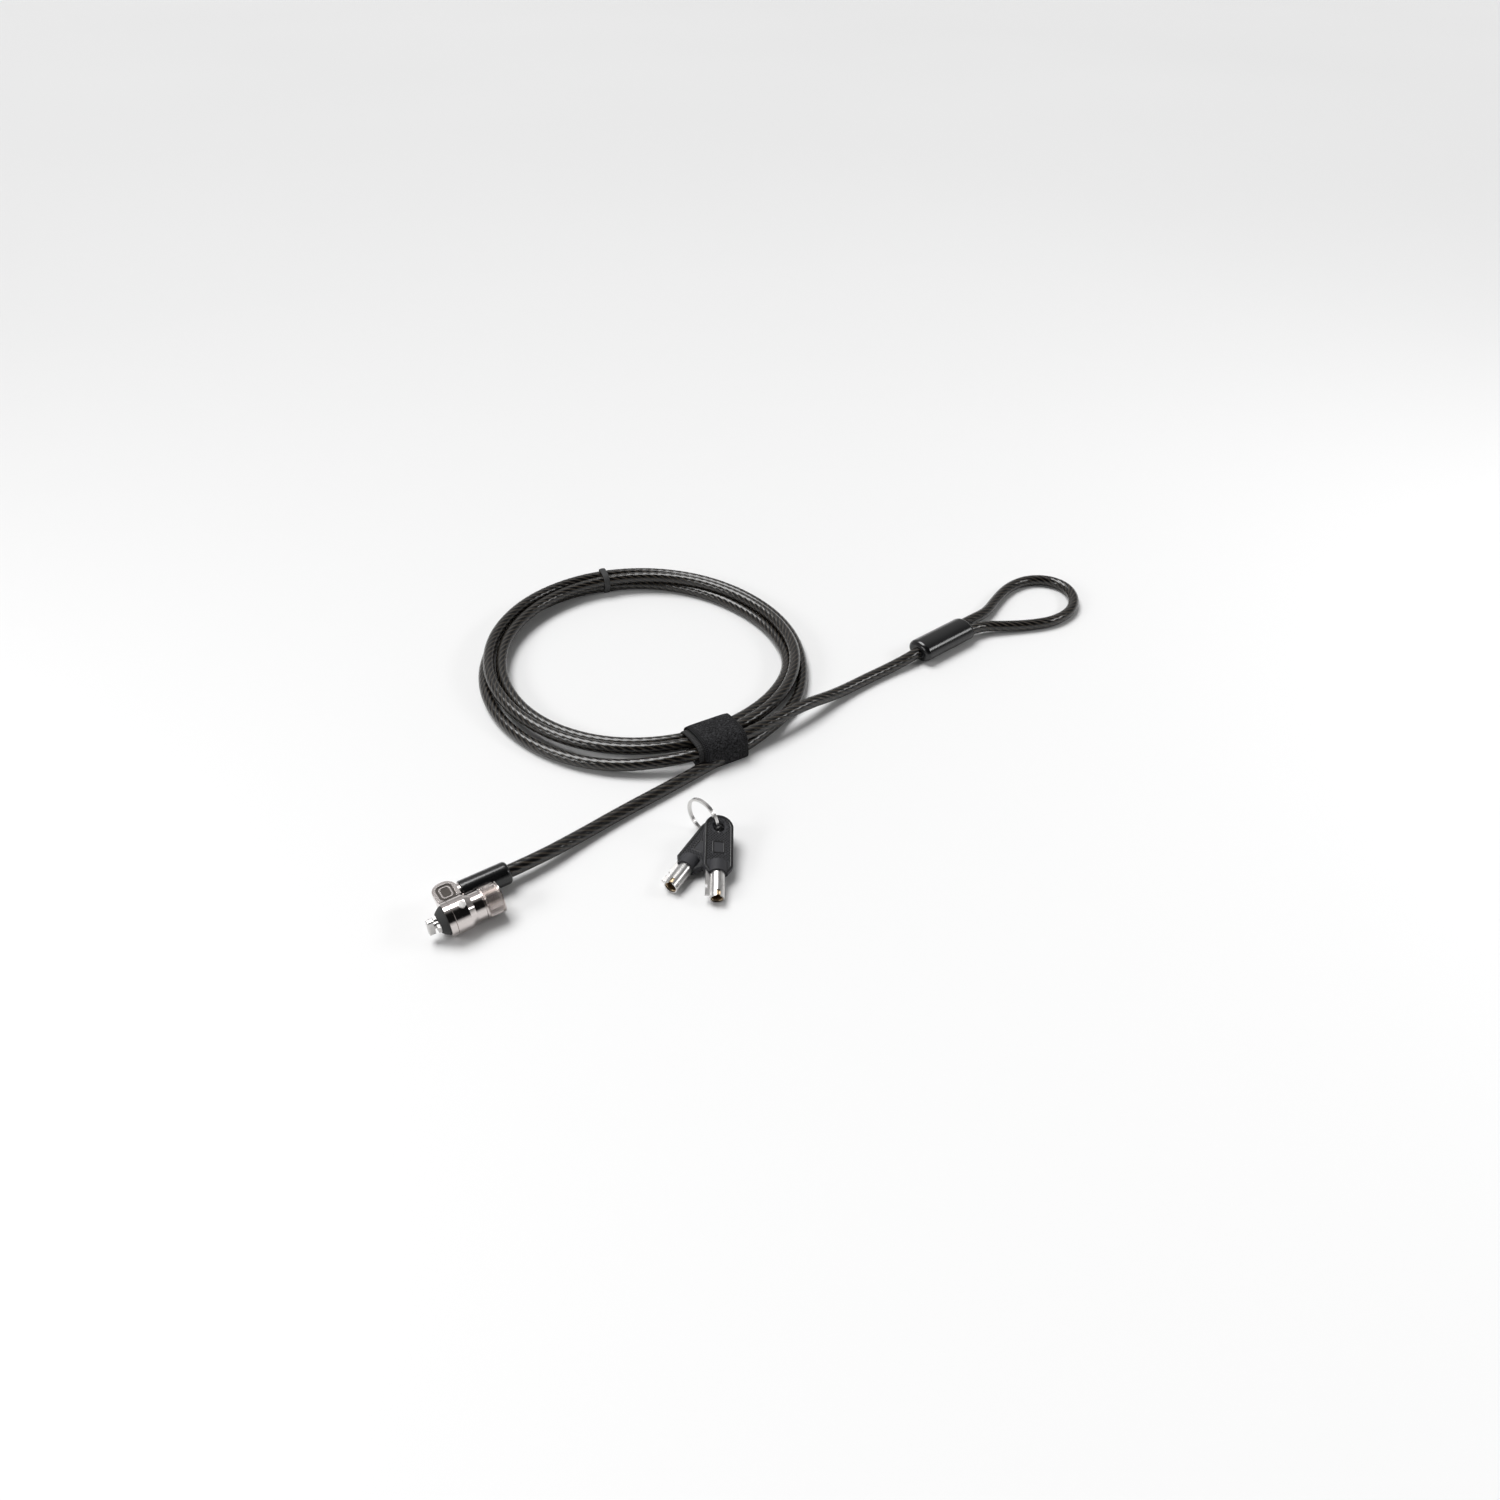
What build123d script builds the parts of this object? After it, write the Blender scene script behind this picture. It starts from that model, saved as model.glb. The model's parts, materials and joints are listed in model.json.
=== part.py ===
from build123d import *
import math
import os

# Laptop cable lock, in millimetres. The origin is where the lock barrel's axis meets the face
# that rests against the laptop. +X runs back along the barrel, +Y towards the cable ear, +Z up.

# ---- driving dimensions ----
FLOOR = -7.0  # the surface that everything lies on
CABLE_D = 5.5
CABLE_R = CABLE_D / 2

# lock head, stations along the barrel axis
BUMPER_END = 2.6
RING_END = 5.1
COLLAR_END = 11.0
WAIST_START = 13.4
GRIP_START = 17.2
BARREL_END = 24.8
COLLAR_R = 6.95
WAIST_R = 5.8
GRIP_R = 6.25
CORE_R = 4.95  # bore that holds the lock core
JOURNAL_R = 4.6  # the swivel ring turns here
NOSE_R = 3.6
RUN = 0.05  # radial clearance of every running fit

# T-bar, made for the standard 3 x 7 mm security slot
TBAR_H = 6.8
TBAR_W = 2.6
TBAR_FRONT = -4.3
TBAR_BACK = -2.0
NECK_R = 1.3
TONGUE_W = 1.9
TONGUE_H = 2.6

# cable ear and ferrule
EAR_Y = 11.2
EAR_Z = -1.3
EAR_TOP = 4.3
EAR_END = 12.2
EAR_FAR = 15.1
EAR_BORE_R = 3.2
FERRULE_END = 29.0
SLEEVE_START = 13.4
SLEEVE_END = 33.3
SLEEVE_R = 4.7

# lock core
STATOR_START = 8.4
SHEAR_X = 14.1
FLANGE_LEN = 3.0
POST_R = 2.05
KEYWAY_R = 3.06
PIN_COUNT = 8
PIN_CIRCLE_R = 2.56
PIN_R = 0.4
PIN_HOLE_R = 0.44
PIN_TRAVEL = 1.0

# keys
TUBE_R = 2.95
TUBE_BORE_R = 2.45
LINER_BORE_R = 2.12
KEY_REACH = 33.5  # ring hole to the open end of the tube
BOW_W = 11.8
BOW_T = 2.6
RING_HOLE_R = 2.4
KEYRING_R = 8.2  # mean radius of the split ring

# coil
COIL_X = 150.9
COIL_Y = 109.2
COIL_IN = 66.0
COIL_OUT = 86.0
COIL_H = 11.4
STRAP_ANGLE = -94.9
STRAP_W = 21.0
STRAP_T = 1.3
BAND_ANGLE = 76.9

# loop sleeve
LOOP_SLEEVE_L = 35.0
LOOP_SLEEVE_W = 14.5
LOOP_SLEEVE_T = 10.4
LOOP_SLEEVE_AT = (265.5, 36.6, FLOOR + 5.2)
LOOP_SLEEVE_TURN = 5.0  # degrees about +Z
PAIR_Y = 2.85  # each cable's offset from the sleeve's centre line

os.makedirs("parts", exist_ok=True)


def write(piece, name):
    piece.label = name
    export_step(piece, "parts/" + name + ".step")


def section(x):
    """Plane across the barrel at station x, with its own x along +Y and its own y along +Z."""
    return Plane(origin=(x, 0, 0), x_dir=(0, 1, 0), z_dir=(1, 0, 0))


def ear_section(x):
    """The same plane, centred on the ferrule's axis."""
    return Plane(origin=(x, EAR_Y, EAR_Z), x_dir=(0, 1, 0), z_dir=(1, 0, 0))


def around_pins(radius, start, end):
    """A ring of equal round pins about the barrel's axis, as separate solids."""
    with BuildPart() as ring:
        with BuildSketch(section(start)):
            with PolarLocations(PIN_CIRCLE_R, PIN_COUNT):
                Circle(radius)
        extrude(amount=end - start)
    return ring.part


def cord_tube(points, name):
    """Round cord along straight runs joined by the largest tangent arcs; prints the arc radii."""
    corners = [Vector(p) for p in points]
    radii = []
    for before, corner, after in zip(corners, corners[1:], corners[2:]):
        run_in = corner - before
        run_out = after - corner
        half_turn = math.radians(run_in.get_angle(run_out)) / 2
        radii.append(0.45 * min(run_in.length, run_out.length) / math.tan(half_turn))
    print(name, "arc radii, mm:", [round(r, 1) for r in radii])
    with BuildPart() as tube:
        with BuildLine() as path:
            FilletPolyline(*points, radius=radii)
        with BuildSketch(Plane(origin=path.line @ 0, z_dir=path.line % 0)):
            Circle(CABLE_R)
        sweep(path=path.line)
    length = sum(edge.length for edge in path.edges())
    expected = math.pi * CABLE_R**2 * length
    print(name, "length, mm:", round(length, 1), "volume over expected:", round(tube.part.volume / expected, 4))
    return tube.part


# ---- spindle: T-bar, neck and the disc that the core drives ----
NOSE_FRONT = 1.0
CHAMBER_FRONT = 6.4
DISC_START = 6.9
DISC_END = 8.2
SOCKET = 1.7

with BuildPart() as t_bar_spindle:
    with BuildSketch(section(TBAR_FRONT)):
        RectangleRounded(TBAR_W, TBAR_H, 0.7)
    extrude(amount=TBAR_BACK - TBAR_FRONT)
    fillet(t_bar_spindle.faces().sort_by(Axis.X)[0].edges(), radius=0.5)
    with BuildSketch(section(TBAR_BACK)):
        Circle(NECK_R)
    extrude(amount=DISC_START - TBAR_BACK)
    with BuildSketch(section(DISC_START)):
        Circle(4.2)
    extrude(amount=DISC_END - DISC_START)
    with BuildSketch(section(DISC_END)):
        Rectangle(SOCKET, SOCKET)
    extrude(amount=-2.0, mode=Mode.SUBTRACT)
write(t_bar_spindle.part, "t_bar_spindle")

with BuildPart() as thrust_washer:
    with BuildSketch(section(CHAMBER_FRONT)):
        Circle(4.2)
        Circle(NECK_R + RUN, mode=Mode.SUBTRACT)
    extrude(amount=DISC_START - RUN - CHAMBER_FRONT)
write(thrust_washer.part, "thrust_washer")

# ---- anti-rotation tongues beside the neck ----
TONGUE_FRONT = -1.3
TONGUE_BACK = 2.4
TONGUE_Y = 2.4  # each tongue's offset from the barrel's axis

with BuildPart() as anti_rotation_tongues:
    with BuildSketch(section(TONGUE_FRONT)):
        with Locations((TONGUE_Y, 0), (-TONGUE_Y, 0)):
            Rectangle(TONGUE_W, TONGUE_H)
    extrude(amount=TONGUE_BACK - TONGUE_FRONT)
    fillet(anti_rotation_tongues.faces().filter_by(Axis.X).group_by(Axis.X)[0].edges(), radius=0.35)
write(anti_rotation_tongues.part, "anti_rotation_tongues")

# ---- barrel: nose, journal, collar, waist and the thin rear shell ----
CLIP_START = 1.9
CLIP_END = 2.55
GROOVE_R = 4.1
CLIP_R = 4.95
SHELL_R = 5.4
STOP_PIN_X = 9.5
STOP_PIN_TURN = 20.0  # degrees from +Z towards -Y
STOP_PIN_R = 0.9

pin_plane = Plane(
    origin=(STOP_PIN_X, 0, 0), x_dir=(1, 0, 0),
    z_dir=(0, -math.sin(math.radians(STOP_PIN_TURN)), math.cos(math.radians(STOP_PIN_TURN))),
)

with BuildPart() as lock_barrel:
    with BuildSketch(Plane.XY):
        with BuildLine():
            Polyline(
                (NOSE_FRONT, 0), (NOSE_FRONT, NOSE_R), (CLIP_START, NOSE_R), (CLIP_START, GROOVE_R),
                (CLIP_END, GROOVE_R), (CLIP_END, JOURNAL_R), (RING_END + RUN, JOURNAL_R),
                (RING_END + RUN, COLLAR_R - 0.25), (RING_END + RUN + 0.25, COLLAR_R), (COLLAR_END, COLLAR_R),
                (WAIST_START, WAIST_R), (GRIP_START, WAIST_R), (GRIP_START, SHELL_R), (BARREL_END, SHELL_R),
                (BARREL_END, 0), close=True,
            )
        make_face()
    revolve(axis=Axis.X)
    with BuildSketch(section(CHAMBER_FRONT)):
        Circle(CORE_R)
    extrude(amount=BARREL_END - CHAMBER_FRONT, mode=Mode.SUBTRACT)
    with BuildSketch(section(NOSE_FRONT)):
        Circle(NECK_R + RUN)
    extrude(amount=CHAMBER_FRONT - NOSE_FRONT, mode=Mode.SUBTRACT)
    with BuildSketch(section(NOSE_FRONT)):
        with Locations((TONGUE_Y + 1, 0), (-TONGUE_Y - 1, 0)):
            Rectangle(TONGUE_W + 2, TONGUE_H)
    extrude(amount=TONGUE_BACK - NOSE_FRONT, mode=Mode.SUBTRACT)
    with BuildSketch(pin_plane):
        Circle(STOP_PIN_R)
    extrude(amount=COLLAR_R + 1, mode=Mode.SUBTRACT)
write(lock_barrel.part, "lock_barrel")

with BuildPart() as stop_pin:
    with BuildSketch(pin_plane.offset(3.6)):
        Circle(STOP_PIN_R)
    extrude(amount=COLLAR_R + 0.1 - 3.6)
    with BuildSketch(pin_plane.offset(COLLAR_R + 0.05)):
        Circle(1.45)
    extrude(amount=0.75)
    fillet(stop_pin.faces().sort_by(SortBy.AREA)[-1].edges(), radius=0.1)
write(stop_pin.part, "stop_pin")

with BuildPart() as knurled_grip:
    with BuildSketch(section(GRIP_START)):
        Circle(GRIP_R)
        Circle(SHELL_R, mode=Mode.SUBTRACT)
    extrude(amount=BARREL_END - GRIP_START)
    chamfer(knurled_grip.edges().filter_by(GeomType.CIRCLE).sort_by(SortBy.RADIUS)[-2:], length=0.3)
write(knurled_grip.part, "knurled_grip")

# ---- rubber bumper over the nose and the clip ----
with BuildPart() as rubber_bumper:
    with BuildSketch(Plane.XY):
        with BuildLine():
            Line((0, 0), (0, 3.9))
            ThreePointArc((0, 3.9), (1.5, 5.25), (BUMPER_END, 5.9))
            Line((BUMPER_END, 5.9), (BUMPER_END, 0))
            Line((BUMPER_END, 0), (0, 0))
        make_face()
    revolve(axis=Axis.X)
    with BuildSketch(section(NOSE_FRONT)):
        Circle(NOSE_R)
    extrude(amount=BUMPER_END - NOSE_FRONT, mode=Mode.SUBTRACT)
    with BuildSketch(section(CLIP_START - RUN)):
        Circle(CLIP_R + RUN)
    extrude(amount=BUMPER_END - CLIP_START + RUN, mode=Mode.SUBTRACT)
    with BuildSketch(section(0)):
        Rectangle(2 * TONGUE_Y + TONGUE_W + 0.1, TONGUE_H + 0.1)
        Circle(NECK_R + RUN)
    extrude(amount=NOSE_FRONT, mode=Mode.SUBTRACT)
write(rubber_bumper.part, "rubber_bumper")

with BuildPart() as retaining_clip:
    with BuildSketch(section(CLIP_START)):
        Circle(CLIP_R)
        Circle(GROOVE_R, mode=Mode.SUBTRACT)
        with Locations((-5, 0)):
            Rectangle(3, 3.2, mode=Mode.SUBTRACT)
    extrude(amount=CLIP_END - CLIP_START - 0.02)
write(retaining_clip.part, "retaining_clip")

# ---- swivel ring with the cable ear ----
EAR_NEAR = 3.0
EAR_BOTTOM = EAR_Z - 4.1
OVERHANG_R = COLLAR_R + 0.3
RING_FRONT = BUMPER_END + 0.05
RING_BACK = RING_END
EAR_MID = (RING_FRONT + EAR_END) / 2

with BuildPart() as swivel_ring:
    with BuildSketch(Plane.XY.offset(EAR_BOTTOM)):
        with Locations((EAR_MID, (EAR_NEAR + EAR_FAR) / 2)):
            Rectangle(EAR_END - RING_FRONT, EAR_FAR - EAR_NEAR)
    extrude(amount=EAR_TOP - EAR_BOTTOM)
    fillet(swivel_ring.edges().filter_by(Axis.Z).group_by(Axis.Y)[-1], radius=4.4)
    fillet(swivel_ring.faces().sort_by(Axis.Z)[0].edges().group_by(Axis.Y)[-1], radius=2.4)
    with BuildSketch(section(RING_BACK + RUN)):
        Circle(OVERHANG_R)
    extrude(amount=EAR_END - RING_BACK, mode=Mode.SUBTRACT)
    with BuildSketch(section(RING_FRONT)):
        Circle(COLLAR_R)
    extrude(amount=RING_BACK - RING_FRONT)
    with BuildSketch(section(RING_FRONT - 1)):
        Circle(JOURNAL_R + RUN)
    extrude(amount=RING_BACK - RING_FRONT + 2, mode=Mode.SUBTRACT)
    with BuildSketch(ear_section(RING_FRONT)):
        Circle(EAR_BORE_R)
    extrude(amount=EAR_END - RING_FRONT, mode=Mode.SUBTRACT)
    with BuildSketch(ear_section(RING_FRONT)):
        Circle(3.6)
    extrude(amount=3.6, mode=Mode.SUBTRACT)
    with BuildSketch(Plane.XY.offset(EAR_TOP)):
        with Locations((EAR_MID, 9.4)):
            RectangleRounded(6.6, 8.2, 2.2)
    extrude(amount=-0.35, mode=Mode.SUBTRACT)
write(swivel_ring.part, "swivel_ring")

with BuildPart() as ear_plaque:
    with BuildSketch(Plane.XY.offset(EAR_TOP - 0.35)):
        with Locations((EAR_MID, 9.4)):
            RectangleRounded(4.6, 6.2, 1.5)
            RectangleRounded(3.4, 5.0, 1.1, mode=Mode.SUBTRACT)
    extrude(amount=0.3)
write(ear_plaque.part, "ear_plaque")

# ---- ferrule on the cable's end, its snap ring and the moulded sleeve ----
SPIGOT_START = 5.0
SPIGOT_END = 6.4
SPIGOT_R = 2.3
FLANGE_START = EAR_END + 0.1
FERRULE_R = 3.6
CABLE_START = 18.0

with BuildPart() as cable_ferrule:
    with BuildSketch(ear_section(SPIGOT_END)):
        Circle(EAR_BORE_R - RUN)
    extrude(amount=FLANGE_START - SPIGOT_END)
    with BuildSketch(ear_section(SPIGOT_START)):
        Circle(SPIGOT_R)
    extrude(amount=SPIGOT_END - SPIGOT_START)
    with BuildSketch(ear_section(FLANGE_START)):
        Circle(4.1)
    extrude(amount=SLEEVE_START - FLANGE_START)
    with BuildSketch(ear_section(SLEEVE_START)):
        Circle(FERRULE_R)
    extrude(amount=FERRULE_END - SLEEVE_START)
    with BuildSketch(ear_section(CABLE_START)):
        Circle(CABLE_R)
    extrude(amount=FERRULE_END - CABLE_START, mode=Mode.SUBTRACT)
    with BuildSketch(ear_section(SPIGOT_START)):
        Circle(1.3)
    extrude(amount=4, mode=Mode.SUBTRACT)
write(cable_ferrule.part, "cable_ferrule")

with BuildPart() as ferrule_snap_ring:
    with BuildSketch(ear_section(SPIGOT_START + 0.2)):
        Circle(3.5)
        Circle(SPIGOT_R, mode=Mode.SUBTRACT)
    extrude(amount=0.95)
write(ferrule_snap_ring.part, "ferrule_snap_ring")

with BuildPart() as cable_sleeve:
    with BuildSketch(ear_section(SLEEVE_START)):
        Circle(SLEEVE_R)
    extrude(amount=SLEEVE_END - SLEEVE_START)
    fillet(cable_sleeve.faces().sort_by(Axis.X)[-1].edges(), radius=1.6)
    fillet(cable_sleeve.faces().sort_by(Axis.X)[0].edges(), radius=0.5)
    with BuildSketch(ear_section(SLEEVE_START)):
        Circle(FERRULE_R)
    extrude(amount=FERRULE_END - SLEEVE_START, mode=Mode.SUBTRACT)
    with BuildSketch(ear_section(FERRULE_END)):
        Circle(CABLE_R)
    extrude(amount=SLEEVE_END - FERRULE_END, mode=Mode.SUBTRACT)
write(cable_sleeve.part, "cable_sleeve")

# ---- lock core: stator, rotor, keyway shell, pins and springs ----
SPRING_FRONT = 10.1
DRIVER_LEN = 2.0
ROTOR_R = 3.9

with BuildPart() as core_stator:
    with BuildSketch(section(STATOR_START)):
        Circle(CORE_R)
        Circle(1.3 + RUN, mode=Mode.SUBTRACT)
    extrude(amount=SHEAR_X - STATOR_START)
    with BuildSketch(section(SPRING_FRONT)):
        with PolarLocations(PIN_CIRCLE_R, PIN_COUNT):
            Circle(PIN_HOLE_R)
    extrude(amount=SHEAR_X - SPRING_FRONT, mode=Mode.SUBTRACT)
    with BuildSketch(pin_plane.offset(3.6)):
        Circle(STOP_PIN_R)
    extrude(amount=3, mode=Mode.SUBTRACT)
write(core_stator.part, "core_stator")

with BuildPart() as core_rotor:
    with BuildSketch(section(SHEAR_X + RUN)):
        Circle(ROTOR_R)
        with PolarLocations(PIN_CIRCLE_R, PIN_COUNT):
            Circle(PIN_HOLE_R, mode=Mode.SUBTRACT)
    extrude(amount=FLANGE_LEN)
    with BuildSketch(section(SHEAR_X + RUN + FLANGE_LEN)):
        Circle(POST_R)
    extrude(amount=BARREL_END - 0.6 - SHEAR_X - RUN - FLANGE_LEN)
    with BuildSketch(section(DISC_END)):
        Circle(1.3)
    extrude(amount=SHEAR_X + RUN - DISC_END)
    with BuildSketch(section(DISC_END)):
        Rectangle(SOCKET, SOCKET)
    extrude(amount=-1.9)
write(core_rotor.part, "core_rotor")

SLEEVE_STEP_X = SHEAR_X + RUN + FLANGE_LEN + 0.1
with BuildPart() as keyway_shell:
    with BuildSketch(section(SHEAR_X)):
        Circle(CORE_R)
        Circle(ROTOR_R + RUN, mode=Mode.SUBTRACT)
    extrude(amount=SLEEVE_STEP_X - SHEAR_X)
    with BuildSketch(section(SLEEVE_STEP_X)):
        Circle(CORE_R)
        Circle(KEYWAY_R, mode=Mode.SUBTRACT)
    extrude(amount=BARREL_END - 0.3 - SLEEVE_STEP_X)
    with BuildSketch(section(SLEEVE_STEP_X + 1.2)):
        with Locations((0, KEYWAY_R + 0.9)):
            Rectangle(1.2, 2.1)
    extrude(amount=BARREL_END - SLEEVE_STEP_X, mode=Mode.SUBTRACT)
write(keyway_shell.part, "keyway_shell")

write(around_pins(PIN_R, SHEAR_X - DRIVER_LEN, SHEAR_X - 0.02), "driver_pins")
write(around_pins(PIN_R, SHEAR_X + RUN + 0.02, SHEAR_X + RUN + FLANGE_LEN - 0.1), "key_pins")

with BuildPart() as pin_springs:
    with BuildSketch(section(SPRING_FRONT)):
        with PolarLocations(PIN_CIRCLE_R, PIN_COUNT):
            Circle(PIN_R)
            Circle(0.26, mode=Mode.SUBTRACT)
    extrude(amount=SHEAR_X - DRIVER_LEN - SPRING_FRONT)
write(pin_springs.part, "pin_springs")

# ---- coil of cable with its strap and rubber band ----
coil_axis = Axis((COIL_X, COIL_Y, 0), (0, 0, 1))
coil_section = Plane(origin=(COIL_X, COIL_Y, 0), x_dir=(1, 0, 0), z_dir=(0, -1, 0))
COIL_MID = (COIL_IN + COIL_OUT) / 2
COIL_MID_Z = FLOOR + COIL_H / 2

with BuildPart() as cable_coil:
    with BuildSketch(coil_section):
        with Locations((COIL_MID, COIL_MID_Z)):
            RectangleRounded(COIL_OUT - COIL_IN, COIL_H, 3.5)
    revolve(axis=coil_axis)
write(cable_coil.part, "cable_coil")


def hoop(angle, width, wall, name):
    """A flat hoop around the coil's section, centred at an angle about the coil's axis."""
    half_turn = math.degrees(width / 2 / COIL_MID)
    heading = math.radians(angle - half_turn)
    across = Plane(
        origin=(COIL_X, COIL_Y, 0),
        x_dir=(math.cos(heading), math.sin(heading), 0),
        z_dir=(math.sin(heading), -math.cos(heading), 0),
    )
    inner_w = COIL_OUT - COIL_IN + 0.4
    inner_h = COIL_H - wall + 0.4
    with BuildPart() as loop:
        with BuildSketch(across):
            with Locations((COIL_MID, FLOOR + inner_h / 2 + wall)):
                RectangleRounded(inner_w + 2 * wall, inner_h + 2 * wall, 3.5 + wall / 2)
                RectangleRounded(inner_w, inner_h, 3.5, mode=Mode.SUBTRACT)
        revolve(axis=coil_axis, revolution_arc=2 * half_turn)
    write(loop.part, name)


hoop(STRAP_ANGLE, STRAP_W, STRAP_T, "cable_strap")
hoop(BAND_ANGLE, 3.2, 1.2, "rubber_band")

# ---- free cable: route points, in order, from the head to the coil and from the coil on ----
LIE = FLOOR + CABLE_R + 0.05  # height of a cable's centre when it lies on the surface
LEAD_ROUTE = [
    (CABLE_START, EAR_Y, EAR_Z), (44.0, EAR_Y, EAR_Z), (66.0, 15.6, -3.6), (88.0, 19.2, LIE),
    (112.0, 21.6, LIE), (134.0, 24.4, LIE),
]
TAIL_ROUTE = [
    (152.0, 27.2, 1.4), (172.0, 28.2, 1.6), (192.0, 30.2, 1.4), (212.0, 33.2, -3.2), (232.0, 35.6, LIE),
    (250.0, 36.2, -3.9), (262.0, 36.3, -2.4),
]


def at_sleeve(along, across, height=0.0):
    """A point given along and across the loop sleeve, from the middle of its front face."""
    turn = math.radians(LOOP_SLEEVE_TURN)
    x0, y0, z0 = LOOP_SLEEVE_AT
    x = x0 + along * math.cos(turn) - across * math.sin(turn)
    y = y0 + along * math.sin(turn) + across * math.cos(turn)
    return (x, y, z0 + height)


# past the sleeve the cable turns through a teardrop loop and comes back beside itself
LOOP_ROUTE = [
    at_sleeve(6.0, 0.6), at_sleeve(14.0, PAIR_Y), at_sleeve(31.0, PAIR_Y + 0.1), at_sleeve(43.0, 3.6, -0.6),
    (321.0, 46.0, -3.6), (334.0, 52.6, LIE), (348.0, 58.2, LIE), (361.5, 58.6, LIE), (372.0, 52.2, LIE),
    (375.5, 41.6, LIE), (371.0, 30.8, LIE), (360.5, 22.6, LIE), (346.0, 20.6, LIE), (333.0, 24.8, LIE),
    (320.0, 31.0, -3.6), at_sleeve(43.0, -3.6, -0.6), at_sleeve(31.0, -PAIR_Y - 0.1), at_sleeve(16.0, -PAIR_Y),
]

write(cord_tube(LEAD_ROUTE, "cable_lead"), "cable_lead")
write(cord_tube(TAIL_ROUTE + LOOP_ROUTE, "cable_tail"), "cable_tail")

# ---- loop sleeve, moulded over the crimp that closes the loop ----
turn = math.radians(LOOP_SLEEVE_TURN)


def sleeve_section(along):
    forward = (math.cos(turn), math.sin(turn), 0)
    return Plane(origin=at_sleeve(along, 0), x_dir=(-math.sin(turn), math.cos(turn), 0), z_dir=forward)


with BuildPart() as loop_sleeve:
    with BuildSketch(sleeve_section(0)):
        Ellipse(LOOP_SLEEVE_W / 2, LOOP_SLEEVE_T / 2)
    extrude(amount=LOOP_SLEEVE_L)
    ends = loop_sleeve.faces().filter_by(GeomType.PLANE).sort_by(Axis.X)
    fillet(ends[0].edges() + ends[-1].edges(), radius=2.6)
    with BuildSketch(sleeve_section(15)):
        SlotCenterToCenter(2 * PAIR_Y, 2 * CABLE_R + 1.6)
    extrude(amount=15, mode=Mode.SUBTRACT)
write(loop_sleeve.part, "loop_sleeve")

with BuildPart() as loop_crimp:
    with BuildSketch(sleeve_section(15)):
        SlotCenterToCenter(2 * PAIR_Y, 2 * CABLE_R + 1.6)
        with Locations((PAIR_Y, 0), (-PAIR_Y, 0)):
            Circle(CABLE_R, mode=Mode.SUBTRACT)
    extrude(amount=15)
write(loop_crimp.part, "loop_crimp")

# ---- two keys on a split ring ----
KEY_TILT = (2.0, 10.5)  # the second key's bow lies on the first one's
KEY_ROLL = (0.0, 11.0)  # and leans on its edge
KEY_HEADING = (27.0, 56.0)  # from the tube's open end to the ring hole, about +Z
KEY_TIP = ((82.7, -29.7), (94.7, -44.6))
KEYRING_AT = (111.2, -8.6, 2.6)
KEYRING_HEADING = 102.0  # its plane stands upright along this direction


BOW_START = 11.5  # distances from the tube's open end
BOW_END = KEY_REACH + 5.6
BOW_NECK_END = 16.5
BOW_NECK_R = 3.85


def key_plane(index):
    """Key frame: origin at the tube's open end, x towards the ring hole, z up out of the bow."""
    tilt = math.radians(KEY_TILT[index])
    heading = math.radians(KEY_HEADING[index])
    forward = Vector(math.cos(heading) * math.cos(tilt), math.sin(heading) * math.cos(tilt), math.sin(tilt))
    side = Vector(-math.sin(heading), math.cos(heading), 0)
    roll = math.radians(KEY_ROLL[index])
    up = forward.cross(side) * math.cos(roll) - side * math.sin(roll)
    x, y = KEY_TIP[index]
    tube_height = TUBE_R / math.cos(tilt)
    neck_height = BOW_NECK_R * math.cos(tilt) - BOW_START * math.sin(tilt)
    z = FLOOR + 0.02 + max(tube_height, neck_height)
    return Plane(origin=(x, y, z), x_dir=forward, z_dir=up)


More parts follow.
